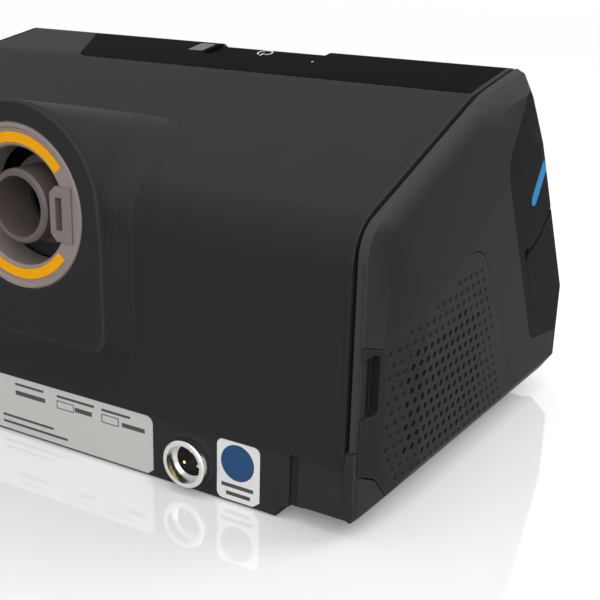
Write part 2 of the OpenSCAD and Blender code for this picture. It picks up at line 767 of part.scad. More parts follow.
module dial_encoder() color("#3c4a56") {
  on_front(dial_x, dial_v) difference() {
    translate([-encoder_w, -encoder_w, board_w])
      cube([2 * encoder_w, 2 * encoder_w, -board_w - fascia_t - 0.2]);
    translate([0, 0, rotor_w[0] - 0.1]) cylinder(h = rotor_w[1] - rotor_w[0] + 0.2, r = rotor_r + run);
    translate([0, 0, rotor_w[0]]) cylinder(h = 10, r = dial_shaft_r + 0.4);
  }
}
// collar in the encoder that turns with the shaft and lets it slide
rotor_r = 5;
module encoder_rotor() color("#c9b37c") {
  on_front(dial_x, dial_v, rotor_w[0]) ringBar(rotor_w[1] - rotor_w[0], rotor_r, dial_shaft_r + run);
}
module home_button() color("#1c1c1e") {
  on_front(dial_x, home_v) {
    translate([0, 0, -fascia_t - 0.9]) cylinder(h = 0.5, r = home_r + 1);
    translate([0, 0, -fascia_t - 0.9]) rotate_extrude()
      polygon([[0, 0], [home_r, 0], [home_r, fascia_t + 1.3], [home_r - 0.5, fascia_t + 1.8],
        [0, fascia_t + 1.5]]);
  }
}
switch_w = 6;
module tact_switch(h) {
  translate([-switch_w / 2, -switch_w / 2, 0]) cube([switch_w, switch_w, h - 0.5]);
  cylinder(h = h, r = 1.5);
}
module panel_switches() color("#55585c") {
  on_front(dial_x, home_v, board_w) tact_switch(-board_w - fascia_t - 0.9 - home_travel - fit);
  on_band(start_mid_x, start_mid_v, start_board_w)
    tact_switch(-start_board_w - button_drop - 2 - start_travel - fit);
}

// ---- top band, start button ----
start_mid_x = (start_x0 + start_x1) / 2;
start_mid_v = 19;
start_board_w = -8.2;
button_t = 2;
module top_band() color("#121213") {
  difference() {
    intersection() {
      shell_x(-house_x, house_x, 0, band_t);
      translate([0, 0, shoulder_z]) linear_extrude(60) band_plan(0.12);
    }
    box([-big, -big, -big], [big, roof_edge_y, big]);
    start_opening(0);
    window_prism(-0.05);
  }
}
window_box = [[start_x1 + 1.6, crest_y + 3.5], [start_x1 + 8, crest_y + 12.5]];
module window_prism(g) {
  translate([0, 0, shoulder_z]) linear_extrude(60)
    plate(window_box[0] + [g, g], window_box[1] - [g, g], 1);
}
module light_sensor_window() color("#4a4b4e") {
  intersection() {
    shell_x(-house_x, house_x, 0.1, band_t);
    window_prism(0.05);
  }
}
module start_button() color("#161617") {
  difference() {
    shell_x(start_x0 + fit, start_x1 - fit, button_drop, button_drop + button_t);
    box([-big, start_y - fit, -big], [big, big, big]);
    box([-big, -big, -big], [big, big, start_low_z + 0.5]);
    box([-big, -big, -big], [big, crest_y - 8, big]);
  }
}
module start_board() color("#1f5c3a") {
  on_band(start_mid_x, start_mid_v, start_board_w - 1.2)
    translate([-(start_x1 - start_x0) / 2 - 10, -4.5, 0]) cube([start_x1 - start_x0 + 20, 9, 1.2]);
}

// ---- left end: insert, card, filter ----
function fromFront(pts) = [for (p = pts) [front_y + p[0], p[1]]];
sd_corners = fromFront([[-15, 34.5], [28.2, 34.5], [41.2, 57.2], [29.6, 61.4], [20.4, 70], [12, 88],
  [-15, 88]]);
sd_radii = [0, 3, 2.2, 14, 20, 0, 0];
module sd_zone(gap, top) {
  polygon(roundCorners(insetEdges(sd_corners, [gap, gap, top, top, top, gap, gap]), sd_radii));
}
module sd_notch() {
  translate(sd_corners[2] + [-1.3, 0.5]) circle(r = 1.7);
}
module side_insert() color("#302e2e") {
  mirror([1, 0, 0]) intersection() {
    union() {
      end_shell();
      // web and tongue that close the groove in front
      groove_web();
      shell_x(house_x - tongue, end_x + 0.01, fascia_t + 0.15, wall + 1.9);
    }
    along_x(house_x - tongue - 1, half_w + 1) difference() {
      insert_zone(panel_gap / 2);
      sd_zone(0, 0);
      sd_notch();
    }
  }
}
module sd_cover() color("#302e2e") {
  mirror([1, 0, 0]) {
    intersection() {
      end_shell();
      along_x(end_x - 1, half_w + 1) difference() {
        sd_zone(panel_gap / 2, 1.3);
        sd_notch();
      }
    }
    // hook behind the lower edge
    translate([half_w - wall - hook_t - fit, front_y + 17, sd_corners[0][1] - 3]) cube([hook_t, 6, 6]);
    translate([half_w - wall - hook_t - fit, front_y + 17, sd_corners[0][1] + 1]) cube([hook_t + 0.8, 6, 2]);
  }
}
card_w = 24;      // a standard full-size card
card_l = 32;
card_t = 2.1;
card_v = 73;
card_back = -12.5;
card_x = -(half_w - wall - 2.2);   // outer end of the card
module sd_card() color("#1d3f73") {
  on_front(card_x, card_v, card_back - card_t) translate([0, -card_w / 2, 0])
    linear_extrude(card_t) polygon([[0, 0], [card_l - 4, 0], [card_l, 4], [card_l, card_w], [0, card_w]]);
}
socket_l = 30;
module sd_socket() color("#8f9194") {
  x0 = card_l - socket_l + 6;
  on_front(card_x, card_v, card_back - card_t - 1.4) difference() {
    translate([x0, -card_w / 2 - 2, 0]) cube([socket_l, card_w + 4, board_drop - card_back + card_t + 1.4]);
    translate([x0 - 1, -card_w / 2 - 0.2, 1.2])
      cube([card_l - x0 + 1 + card_travel + fit, card_w + 0.4, card_t + 0.4]);
  }
}

function fromRear(pts) = [for (p = pts) [rear_y - p[0], p[1]]];
perf_field = fromRear([[75, 12.5], [39, 12.5], [21, 20], [21, 42], [27, 49], [59, 51], [68, 47]]);
dimple_field = fromRear([[93, 11], [19, 11], [12.5, 20], [12.5, 34], [13, 51.5], [59, 64], [66, 63],
  [72, 55]]);
function inside(p, pts) =
  min([for (i = [0:len(pts) - 1]) let (a = pts[i], b = pts[(i + 1) % len(pts)]) inward(a, b) * (p - a)]) > 0;
function holeSpots() =
  [for (i = [-12:16]) for (j = [0:16])
    [i * hole_pitch + (j % 2) * hole_pitch / 2 + 4, 9 + j * hole_pitch * sin(60)]];
module air_hole(p, r) {
  translate([half_w - 12, p[0], p[1]]) rotate([0, 90, 0]) cylinder(h = 20, r = r, $fn = 16);
}
dimple_depth = 0.5;
// grip pocket at the cover's rear edge
grip_x = 97;
grip_wall = 1.2;
grip_corners = [[rear_y - 8.7, 35], [rear_y - 4.2, 35], [rear_y - 4.2, 53], [rear_y - 8.7, 51.6]];
module grip_outline(g) {
  polygon(roundCorners(insetEdges(grip_corners, same(4, -g)), same(4, 1.6 + g)));
}
module cover_shell() {
  along_x(cover_x, half_w + 1) filter_zone(panel_gap);
}
module filter_cover() color("#363636") {
  mirror([1, 0, 0]) difference() {
    union() {
      intersection() {
        end_shell();
        cover_shell();
      }
      // cup of the grip pocket
      intersection() {
        end_solid(wall / 2);
        along_x(grip_x - grip_wall, half_w) grip_outline(grip_wall);
      }
    }
    along_x(grip_x, half_w) grip_outline(0);
    along_x(cover_x - 0.1, half_w) translate([3, 0]) grip_outline(0);
    for (p = holeSpots())
      if (inside(p, perf_field)) air_hole(p, hole_d / 2);
    // shallow dimples round the air holes
    difference() {
      for (p = holeSpots())
        if (inside(p, dimple_field) && !inside(p, perf_field)) air_hole(p, hole_d / 2 - 0.15);
      end_solid(dimple_depth);
    }
  }
  // hooks behind the front edge
  for (z = [22, 42])
    on_filter_hinge(z) {
      translate([wall + fit, -hook_l / 2, 0]) cube([hook_t, hook_l, 6]);
      translate([wall - 0.3, 1, 0]) cube([hook_t, hook_l / 2 - 1, 6]);
    }
}
filter_mid = [rear_y - 45, 32];
filter_x = 5.1 - half_w;
frame_wall = 1.6;
module filter_block(g) {
  plate(filter_mid - [filter_l, filter_h] / 2 - [g, g], filter_mid + [filter_l, filter_h] / 2 + [g, g],
    2 + g);
}
module air_filter() color("#e8e6e0") {
  along_x(filter_x, filter_x + filter_t) filter_block(0);
}
module filter_frame() color("#26282a") {
  x1 = filter_x + filter_t;
  along_x(filter_x, x1 + fit) difference() {
    filter_block(fit + frame_wall);
    filter_block(fit);
  }
  along_x(x1 + fit, x1 + 2) difference() {
    filter_block(fit + frame_wall);
    for (i = [-3:3]) for (j = [-1:1])
      translate(filter_mid + [i * 7.6, j * 11]) square([6.2, 9.4], center = true);
  }
  // feet on the floor
  for (y = [filter_mid[0] - 20, filter_mid[0] + 16])
    box([-house_x + 1, y, pan_z1], [x1 + 2, y + 6, filter_mid[1] - filter_h / 2 - fit - 0.5]);
}

// ---- blower ----
blower_z0 = 14;
split_z = 30;
blower_z1 = 46;
blower_wall = 1.8;
duct_y0 = blower_y + blower_r - 14;
duct_y1 = blower_y + blower_r;
duct_z0 = split_z + 0.2;
snout_x = blower_x + 40;
bellows_l = 5.5;
motor_boss_r = 16;
bearing_r = 4;
bearing_h = 3;
low_bearing_z = blower_z0 + 3;
top_bearing_z = split_z - bearing_h;
module at_blower(z = 0) {
  translate([blower_x, blower_y, z]) children();
}
module blower_lower() color("#c9c7c2") {
  difference() {
    union() {
      at_blower(blower_z0) cylinder(h = split_z - blower_z0, r = blower_r, $fn = 72);
      translate([blower_x, duct_y0, duct_z0 - 4]) cube([snout_x - blower_x, 14, 3.8]);
    }
    at_blower(blower_z0) difference() {
      translate([0, 0, blower_wall]) cylinder(h = 40, r = blower_r - blower_wall, $fn = 72);
      cylinder(h = split_z - blower_z0, r = motor_boss_r);
    }
    // motor chamber and bearing seats
    at_blower(low_bearing_z + bearing_h + 1)
      cylinder(h = top_bearing_z - low_bearing_z - bearing_h - 2, r = 13.2);
    at_blower(low_bearing_z) cylinder(h = bearing_h + 2, r = bearing_r);
    at_blower(top_bearing_z - 1.5) cylinder(h = 10, r = bearing_r);
  }
}
inlet_eye_r = 11;
module blower_upper() color("#d4d2cd") {
  difference() {
    union() {
      at_blower(split_z) cylinder(h = blower_z1 - split_z, r = blower_r, $fn = 72);
      box([blower_x, duct_y0, duct_z0], [snout_x, duct_y1, blower_z1]);
    }
    at_blower(split_z - 1) cylinder(h = blower_z1 - split_z - blower_wall + 1, r = blower_r - blower_wall,
      $fn = 72);
    box([blower_x, duct_y0 + blower_wall, duct_z0 + blower_wall],
      [snout_x + 1, duct_y1 - blower_wall, blower_z1 - blower_wall]);
    at_blower(0) cylinder(h = big, r = inlet_eye_r);
  }
}
vane_z0 = split_z + 3.5;
vane_h = 8;
module impeller() color("#e6e3dc") {
  at_blower() difference() {
    union() {
      translate([0, 0, vane_z0 - 1.5]) cylinder(h = 1.5, r = impeller_r);
      translate([0, 0, vane_z0 - 1.5]) cylinder(h = 7, r = 5);
      translate([0, 0, vane_z0 + vane_h]) ringBar(1.2, impeller_r, impeller_r - 13);
      for (k = [0:blades - 1])
        rotate([0, 0, 360 * k / blades]) translate([0, 0, vane_z0]) linear_extrude(vane_h) vane();
    }
    cylinder(h = big, r = shaft_r);
  }
}
module ringBar(h, r, bore) {
  difference() {
    cylinder(h = h, r = r);
    translate([0, 0, -1]) cylinder(h = h + 2, r = bore);
  }
}
// backward-swept blade between the hub and the rim
module vane() {
  r0 = 9;
  r1 = impeller_r - 0.4;
  lean = 48;
  steps = 6;
  function spot(t, off) = let (r = r0 + (r1 - r0) * t, a = -lean * t + off / r * 57.3) r * [cos(a), sin(a)];
  polygon(concat([for (i = [0:steps]) spot(i / steps, 0.55)],
    [for (i = [steps:-1:0]) spot(i / steps, -0.55)]));
}
module motor_shaft() color("#b9bcc0") {
  at_blower(low_bearing_z) cylinder(h = vane_z0 + 5.5 - low_bearing_z, r = shaft_r);
}
magnet_r = 6.4;
stator_z = low_bearing_z + bearing_h + 1.5;
stator_h = top_bearing_z - stator_z - 2;
module rotor_magnet() color("#4b4b50") {
  at_blower(stator_z) ringBar(stator_h, magnet_r, shaft_r);
}
module motor_stator() color("#b0713a") {
  at_blower(stator_z) difference() {
    ringBar(stator_h, 13.1, magnet_r + 0.5);
    for (k = [0:5])
      rotate([0, 0, 60 * k]) translate([8.6, -1.1, -1]) cube([3, 2.2, 20]);
  }
}
module motor_bearings() color("#a9adb2") {
  for (z = [low_bearing_z, top_bearing_z])
    at_blower(z) ringBar(bearing_h, bearing_r, shaft_r + run);
}
module blower_mounts() color("#5e6468") {
  for (a = [30, 150, 270])
    at_blower(pan_z1) rotate([0, 0, a]) translate([blower_r - 7, 0, 0])
      rotate_extrude() polygon([[0, 0], [4.5, 0], [4.5, 2], [3, 3.7], [4.5, 5.4],
        [4.5, blower_z0 - pan_z1], [0, blower_z0 - pan_z1]]);
}
duct_x0 = snout_x + bellows_l;
duct_x1 = tub_in_x + tub_port_r + 1;
duct_top = tub_port_z + 11;
module duct_ring(d) {
  plate([duct_y0 + d, duct_z0 + d], [duct_y1 - d, blower_z1 - d], 1);
}
module duct_bellows() color("#7b8084") {
  along_x(snout_x, duct_x0) difference() {
    duct_ring(0);
    duct_ring(blower_wall);
  }
  along_x(snout_x + bellows_l / 3, duct_x0 - bellows_l / 3) difference() {
    duct_ring(-1);
    duct_ring(0);
  }
}
module air_duct() color("#3f4447") {
  w = duct_x1 - 2 * tub_port_r - 2;
  difference() {
    union() {
      box([duct_x0, duct_y0, duct_z0], [duct_x1, duct_y1, blower_z1]);
      box([w, duct_y0, duct_z0], [duct_x1, duct_y1, duct_top]);
    }
    box([duct_x0 - 1, duct_y0 + 1.6, duct_z0 + 1.6], [duct_x1 - 1.6, duct_y1 - 1.6, blower_z1 - 1.6]);
    box([w + 1.6, duct_y0 + 1.6, duct_z0 + 1.6], [duct_x1 - 1.6, duct_y1 - 1.6, duct_top - 1.6]);
    translate([tub_in_x, duct_y0 + 5, tub_port_z]) rotate([90, 0, 0]) cylinder(h = 10, r = tub_port_r - 1.4);
  }
}
module flow_sensor() color("#2c6a48") {
  box([22, duct_y0 + 2, blower_z1], [46, duct_y0 + 12, blower_z1 + 1.4]);
  box([28, duct_y0 + 4, blower_z1 + 1.4], [36, duct_y0 + 10, blower_z1 + 4.5]);
}

// ---- boards ----
board_plan = [
  [board_x0, -18], [-3, -18], [-3, rear_y - 23], [-14, rear_y - 6], [board_x0 + 11, rear_y - 6],
    [board_x0, rear_y - 24]
];
module main_board() color("#1f5c3a") {
  difference() {
    translate([0, 0, board_z]) linear_extrude(board_t) polygon(board_plan);
    for (p = board_posts)
      translate([p[0], p[1], board_z - 1]) cylinder(h = 4, r = 1.1);
    // opening over the blower's inlet
    at_blower(board_z - 1) cylinder(h = 4, r = 9);
  }
}
module board_parts() color("#2f3133") {
  for (b = [[[-60, -10], [14, 14, 2]], [[-30, -12], [9, 9, 1.6]], [[-20, 10], [10, 16, 7]],
    [[-24, 44], [14, 9, 9]],
            [[-84, 4], [8, 20, 5]], [[-70, 52], [16, 7, 6]]])
    translate([b[0][0], b[0][1], board_z + board_t]) cube(b[1]);
}
module modem_module() color("#9fa3a6") {
  translate([-82, 30, board_z + board_t]) cube([22, 18, 3.2]);
}

// ---- outlet ----
plenum_y0 = duct_y0 + 0.2;
plenum_y1 = rear_y - 9;
plenum_x = [0, tub_out_x + 12];
plenum_z = [tub_port_z - 12, tub_port_z + 11];
dome_r = 13.5;
module plenum_form(d) {
  plate([plenum_x[0] + d, plenum_z[0] + d], [plenum_x[1] - d, plenum_z[1] - d], 2.4 - d);
  translate([outlet_x, outlet_z]) circle(r = dome_r - d);
}
module outlet_plenum() color("#3f4447") {
  difference() {
    along_y(plenum_y0, plenum_y1) plenum_form(0);
    along_y(plenum_y0 + 1.6, plenum_y1 - 1.6) plenum_form(1.6);
    translate([tub_out_x, plenum_y0 + 5, tub_port_z]) rotate([90, 0, 0])
      cylinder(h = 10, r = tub_port_r - 1.4);
    translate([outlet_x, plenum_y1 + 5, outlet_z]) rotate([90, 0, 0]) cylinder(h = 10, r = port_bore_r);
  }
}
port_y1 = boss_y - 0.3;
module outlet_port() color("#8a7f7c") {
  translate([outlet_x, plenum_y1, outlet_z]) rotate([-90, 0, 0]) rotate_extrude()
    polygon([[port_bore_r, 0], [dome_r, 0], [dome_r, 2], [port_r, 2.6], [port_r, port_y1 - plenum_y1 - 0.8],
             [port_r - 0.8, port_y1 - plenum_y1], [port_bore_r, port_y1 - plenum_y1]]);
}
ring_back = boss_y - ring_seat;
module ring_body() {
  translate([outlet_x, ring_back, outlet_z]) rotate([-90, 0, 0]) rotate_extrude($fn = 96)
    polygon([[ring_in_r, -7], [ring_in_r + 1.4, -7], [ring_in_r + 1.4, -seat_t - 0.2],
      [seat_bore_r - 0.1, -seat_t - 0.2],
             [seat_bore_r - 0.1, 0], [ring_r, 0], [ring_r, ring_seat - 0.5], [ring_r - 0.5, ring_seat],
             [ring_r - 1.4, ring_seat], [ring_r - 1.9, ring_seat - 0.7], [ring_in_r + 0.6, ring_seat - 0.7],
             [ring_in_r, ring_seat - 1.3]]);
}
contact_x = [outlet_x - ring_r + 4, outlet_x - port_r - 1.6];
module contact_zone(top) {
  box([contact_x[0], ring_back - 8, outlet_z - contact_h / 2], [contact_x[1], top, outlet_z + contact_h / 2]);
}
mark_r = [ring_in_r + 1.1, ring_in_r + 4.1];
module mark_arc(a0, a1, y0, y1) {
  n = 12;
  translate([outlet_x, 0, outlet_z]) along_y(y0, y1) polygon(concat(
    [for (k = [0:n]) let (a = a0 + (a1 - a0) * k / n) mark_r[1] * [cos(a), sin(a)]],
    [for (k = [n:-1:0]) let (a = a0 + (a1 - a0) * k / n) mark_r[0] * [cos(a), sin(a)]]
  ));
}
mark_y = boss_y - 1;
module mark_arcs(y0, y1) {
  for (a = [90, 270])
    mark_arc(a - 52, a + 52, y0, y1);
}
module outlet_ring() color("#8a7f7c") {
  difference() {
    ring_body();
    contact_zone(boss_y + 1);
    mark_arcs(mark_y, boss_y + 1);
  }
}
module outlet_marks() color("#fca70a") {
  mark_arcs(mark_y, mark_y + 0.5);
}
module contact_block() color("#857b78") {
  difference() {
    contact_zone(boss_y - 0.2);
    box([contact_x[1] - 4.4, boss_y - 6, outlet_z - 4.8], [contact_x[1] - 2, big, outlet_z + 4.8]);
    // chamfered inner corners
    for (s = [-1, 1])
      translate([contact_x[1], ring_back, outlet_z + s * contact_h / 2]) rotate([0, 45, 0])
        cube([3, 40, 3], center = true);
  }
}

// ---- power inlet ----
inlet_y1 = rear_y + 3.5;
inlet_l = 9.5;
inlet_y0 = inlet_y1 - inlet_l;
inlet_mouth = 4;               // length of the wide bore at the mouth
inlet_core_r = inlet_bore_r - 0.9;
core_t = 2.5;
module power_inlet_shell() color("#d8d8d8") {
  translate([inlet_x, inlet_y0, inlet_z]) rotate([-90, 0, 0]) rotate_extrude()
    polygon([[inlet_core_r, 0], [inlet_r, 0], [inlet_r, inlet_l - 0.4], [inlet_r - 0.4, inlet_l],
             [inlet_bore_r, inlet_l], [inlet_bore_r, inlet_l - inlet_mouth],
             [inlet_core_r, inlet_l - inlet_mouth]]);
}
module power_inlet_core() color("#141414") {
  difference() {
    translate([inlet_x, inlet_y0 + core_t, inlet_z]) rotate([90, 0, 0])
      cylinder(h = core_t, r = inlet_core_r);
    inlet_pins();
  }
}
module inlet_pins() {
  for (a = [90, 210, 330])
    translate([inlet_x + 2.8 * cos(a), inlet_y0 + core_t + 2.9, inlet_z + 2.8 * sin(a)])
      rotate([90, 0, 0]) cylinder(h = core_t + 2.9, r = 0.5);
}
module power_pins() color("#d9c27a") {
  inlet_pins();
}

// ---- water tub ----
floor_z = pan_z1;
insulator_t = 2;
plate_t = 3;
tub_z0 = floor_z + insulator_t + plate_t + 0.4;
bay_x0 = tub_x0 - 3.2;
bay_wall = 1.6;
bay_y1 = tub_y1 + 3;
bay_z1 = lid_z + 4;
module tub_bay() color("#2b2b2b") {
  profile = [
    [bay_y1, floor_z], [bay_y1, bay_z1], [frontY(bay_z1) + 7.4, bay_z1], [frontY(60) + 7.7, 60],
      [frontY(48) + 8.8, 48],
    [frontY(48) + 8.8, floor_z]
  ];
  difference() {
    along_x(bay_x0, tub_x1 + 0.6 + bay_wall) polygon(profile);
    box([bay_x0 + bay_wall, -big, floor_z - 1], [tub_x1 + 0.6, bay_y1 - bay_wall, bay_z1 - bay_wall]);
    for (x = [tub_out_x, tub_in_x])
      translate([x, bay_y1 + 5, tub_port_z]) rotate([90, 0, 0]) cylinder(h = 10, r = tub_port_r + 0.6);
  }
}
port_end_y = bay_y1 - 0.3;
module port_seals() color("#c8ccce") {
  for (x = [tub_out_x, tub_in_x])
    translate([x, bay_y1, tub_port_z]) rotate([-90, 0, 0])
      ringBar(duct_y0 - bay_y1, tub_port_r + 2.4, tub_port_r - 1.4);
}
heater_box = [[tub_x0 + 7.5, front_y + 25], [tub_x1 - 5, tub_y1 - 12]];
module heater_insulator() color("#d9d4c4") {
  translate([0, 0, floor_z]) linear_extrude(insulator_t) plate(heater_box[0], heater_box[1], 5);
}
module heater_plate() color("#a3a5a8") {
  translate([0, 0, floor_z + insulator_t]) linear_extrude(plate_t)
    plate(heater_box[0] + [2, 2], heater_box[1] - [2, 2], 5);
}
// side outline of the tub below its rim
tub_side = [
  [tub_y1, tub_z0], [tub_y1, tub_rim_z], [frontY(tub_rim_z) + 2.9, tub_rim_z],
    [front_y + 7.5, tub_rim_z - 13], [front_y + 7.5, tub_z0]
];
module tub_outline(d, top) {
  polygon(roundCorners(insetEdges(tub_side, [d, top, d, d, d]), [4, 0, 0, 6, 5]));
}
plate_box = [heater_box[0] + [1, 5], heater_box[1] - [1, 4]];
tub_plate_t = 1.2;
module tub_base() color("#b7c4cc", 0.5) {
  difference() {
    along_x(tub_x0, tub_x1) tub_outline(0, 0);
    along_x(tub_x0 + tub_wall, tub_x1 - tub_wall) tub_outline(tub_wall, -1);
    translate([0, 0, tub_z0 - 1]) linear_extrude(8) plate(plate_box[0], plate_box[1], 3);
  }
}
module tub_plate() color("#b9bcc0") {
  translate([0, 0, tub_z0]) linear_extrude(tub_plate_t) plate(plate_box[0], plate_box[1], 3);
}
seal_t = 1.6;
lid_z0 = tub_rim_z + seal_t;
module tub_seal() color("#9fb4bd") {
  translate([0, 0, tub_rim_z]) linear_extrude(seal_t) difference() {
    plate([tub_x0 + 0.2, frontY(tub_rim_z) + 3.8], [tub_x1 - 0.2, tub_y1 - 0.2], 2);
    plate([tub_x0 + tub_wall, frontY(tub_rim_z) + 5.4], [tub_x1 - tub_wall, tub_y1 - tub_wall], 1);
  }
}
lid_side = [[tub_y1, lid_z0], [tub_y1, lid_z], [frontY(lid_z) + 6.8, lid_z], [frontY(lid_z0) + 3.4, lid_z0]];
module lid_outline(d, low) {
  polygon(roundCorners(insetEdges(lid_side, [d, d, d, low]), [0, 5 - d, 5 - d, 0]));
}
module tub_lid() color("#5d666b") {
  difference() {
    union() {
      along_x(tub_x0, tub_x1) lid_outline(0, 0);
      for (x = [tub_out_x, tub_in_x])
        translate([x, port_end_y, tub_port_z]) rotate([90, 0, 0])
          cylinder(h = port_end_y - tub_y1 + 1, r = tub_port_r);
    }
    along_x(tub_x0 + tub_wall, tub_x1 - tub_wall) lid_outline(tub_wall, -1);
    for (x = [tub_out_x, tub_in_x])
      translate([x, port_end_y + 5, tub_port_z]) rotate([90, 0, 0]) cylinder(h = 20, r = tub_port_r - 1.4);
  }
}
pad_x = [tub_x0 + 11.5, tub_x1 - 17];
module tub_front() color("#202123") {
  front_only(0.2) difference() {
    shell_x(tub_front_x0, end_x, 0, fascia_t);
    box([-big, -big, tub_front_z1], [big, big, big]);
  }
  intersection() {
    end_shell();
    along_x(end_x - 1, half_w + 1) insert_zone(panel_gap / 2);
  }
  // pads that carry the tub
  for (x = pad_x)
    box([x, front_y + wall - 0.5, 20], [x + 8, front_y + 7.5, 34]);
}

rear_housing();
left_end_bezel();
right_end_bezel();
base_chassis();
front_fascia();
top_band();
start_button();
light_sensor_window();
start_board();
panel_switches();
lcd_lens();
lcd_module();
dial_knob();
dial_ring();
dial_encoder();
encoder_rotor();
home_button();
ui_board();
main_board();
board_parts();
modem_module();
side_insert();
sd_cover();
sd_card();
sd_socket();
filter_cover();
air_filter();
filter_frame();
blower_lower();
blower_upper();
impeller();
motor_shaft();
rotor_magnet();
motor_stator();
motor_bearings();
blower_mounts();
duct_bellows();
air_duct();
flow_sensor();
outlet_plenum();
outlet_port();
outlet_ring();
outlet_marks();
contact_block();
tub_bay();
port_seals();
heater_plate();
heater_insulator();
tub_base();
tub_plate();
tub_seal();
tub_lid();
tub_front();
power_inlet_shell();
power_inlet_core();
power_pins();
rear_label_plate();
disc_label();
rubber_feet();
screws();
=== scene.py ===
import bpy
import bmesh
import json
import math
from mathutils import Matrix, Vector
from mathutils.bvhtree import BVHTree


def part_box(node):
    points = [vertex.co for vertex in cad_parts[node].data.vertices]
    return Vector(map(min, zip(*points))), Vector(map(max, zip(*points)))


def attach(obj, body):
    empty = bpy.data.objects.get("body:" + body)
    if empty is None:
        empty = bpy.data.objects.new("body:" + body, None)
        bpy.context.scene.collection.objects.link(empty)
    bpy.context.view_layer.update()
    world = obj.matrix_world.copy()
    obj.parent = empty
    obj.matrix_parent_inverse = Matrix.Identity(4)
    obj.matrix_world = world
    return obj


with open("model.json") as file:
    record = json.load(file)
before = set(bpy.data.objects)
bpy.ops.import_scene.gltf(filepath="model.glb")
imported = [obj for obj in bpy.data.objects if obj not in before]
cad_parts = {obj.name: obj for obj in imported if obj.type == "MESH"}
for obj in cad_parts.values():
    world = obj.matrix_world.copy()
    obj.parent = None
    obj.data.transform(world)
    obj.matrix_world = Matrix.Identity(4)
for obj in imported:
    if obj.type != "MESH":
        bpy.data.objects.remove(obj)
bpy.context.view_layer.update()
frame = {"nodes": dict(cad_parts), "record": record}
nodes = frame["nodes"]
mm = 0.001
print("frame loaded:", len(nodes), "nodes")


# sRGB hex to the linear colour that Blender wants
def hexColour(text):
    parts = [int(text[i:i + 2], 16) / 255 for i in (1, 3, 5)]
    return [c / 12.92 if c <= 0.04045 else ((c + 0.055) / 1.055) ** 2.4 for c in parts] + [1.0]


def shade(colour, by):
    return [min(1, c * by) for c in colour[:3]] + [1.0]


# an input that is given another node's socket is linked to it, and a plain value is written into it
def setInputs(tree, node, inputs):
    for name, value in inputs.items():
        if isinstance(value, bpy.types.NodeSocket):
            tree.links.new(value, node.inputs[name])
        else:
            node.inputs[name].default_value = value


# one node with its settings and its inputs
def addNode(tree, kind, settings=None, inputs=None):
    node = tree.nodes.new(kind)
    for name, value in (settings or {}).items():
        setattr(node, name, value)
    setInputs(tree, node, inputs or {})
    return node


def newMaterial(name):
    material = bpy.data.materials.new(name)
    material.use_nodes = True
    tree = material.node_tree
    return material, tree, tree.nodes["Principled BSDF"]


# places on the object in millimetres, so that every pattern is set by a real size
def millimetres(tree, stretch=(1, 1, 1)):
    where = addNode(tree, "ShaderNodeTexCoord").outputs["Object"]
    return addNode(tree, "ShaderNodeMapping", None,
                   {"Vector": where, "Scale": [s / mm for s in stretch]}).outputs["Vector"]


# the photograph's own view, solved from the edges of the casing
cameraView = {
    "place": (-0.22446, 0.31296, 0.15718),
    "azimuth": 212.505,
    "elevation": 20.485,
    "roll": 1.048,
    "framePixels": 600,
    "focalPixels": 1159.5,
    "middlePixel": (262, 350),
    "filmWidth": 36,
}


def addCamera(view):
    turn, rise, roll = (math.radians(view[k]) for k in ("azimuth", "elevation", "roll"))
    back = Vector((math.sin(turn) * math.cos(rise), -math.cos(turn) * math.cos(rise), math.sin(rise)))
    right = Vector((math.cos(turn), math.sin(turn), 0))
    up = back.cross(right)
    tilted = Matrix((right * math.cos(roll) + up * math.sin(roll),
                     up * math.cos(roll) - right * math.sin(roll), back)).transposed()
    camera = bpy.data.cameras.new("camera")
    size = view["framePixels"]
    camera.sensor_width = view["filmWidth"]
    camera.lens = view["filmWidth"] * view["focalPixels"] / size
    camera.shift_x = (size / 2 - view["middlePixel"][0]) / size
    camera.shift_y = (view["middlePixel"][1] - size / 2) / size
    camera.clip_start, camera.clip_end = 0.01, 50
    holder = bpy.data.objects.new("camera", camera)
    bpy.context.scene.collection.objects.link(holder)
    holder.matrix_world = Matrix.Translation(view["place"]) @ tilted.to_4x4()
    bpy.context.scene.camera = holder


# soft boxes overhead, beside the camera, low at the rounded end and in front, in an even room
studio = {
    "lamps": {
        "overheadBox": {"place": (-0.2, 0.25, 1.4), "aim": (0, 0.02, 0.06), "size": 1.2, "power": 6.4},
        "cameraBox": {"place": (-0.75, 1.3, 0.75), "aim": (0, 0, 0.06), "size": 1.1, "power": 9.6},
        "lowBox": {"place": (-1.25, 1.05, 0.36), "aim": (0, 0, 0.06), "size": 0.8, "power": 1},
        "frontBox": {"place": (-0.75, -0.62, 0.85), "aim": (0, 0, 0.06), "size": 0.6, "power": 4.5},
    },
    "roomGlow": 0.55,
    "floorSize": 8,
    "floorColour": "#f4f4f4",
    "floorBounce": "#8e8e8e",
    "floorGlow": 0.13,
    "floorRough": 0.06,
    "floorMirror": 2.1,
}


def addLamp(name, lamp):
    light = bpy.data.lights.new(name, "AREA")
    light.energy = lamp["power"]
    light.size = lamp["size"]
    holder = bpy.data.objects.new(name, light)
    bpy.context.scene.collection.objects.link(holder)
    holder.location = lamp["place"]
    holder.rotation_euler = (Vector(lamp["aim"]) - holder.location).to_track_quat("-Z", "Y").to_euler()


# 1 for the rays that show a surface: seen directly, mirrored or through something clear
def raySeen(tree):
    ray = addNode(tree, "ShaderNodeLightPath")
    direct = addNode(tree, "ShaderNodeMath", {"operation": "MAXIMUM"},
                     {0: ray.outputs["Is Camera Ray"], 1: ray.outputs["Is Transmission Ray"]}).outputs[0]
    return addNode(tree, "ShaderNodeMath", {"operation": "MAXIMUM"},
                   {0: direct, 1: ray.outputs["Is Glossy Ray"]}).outputs[0]


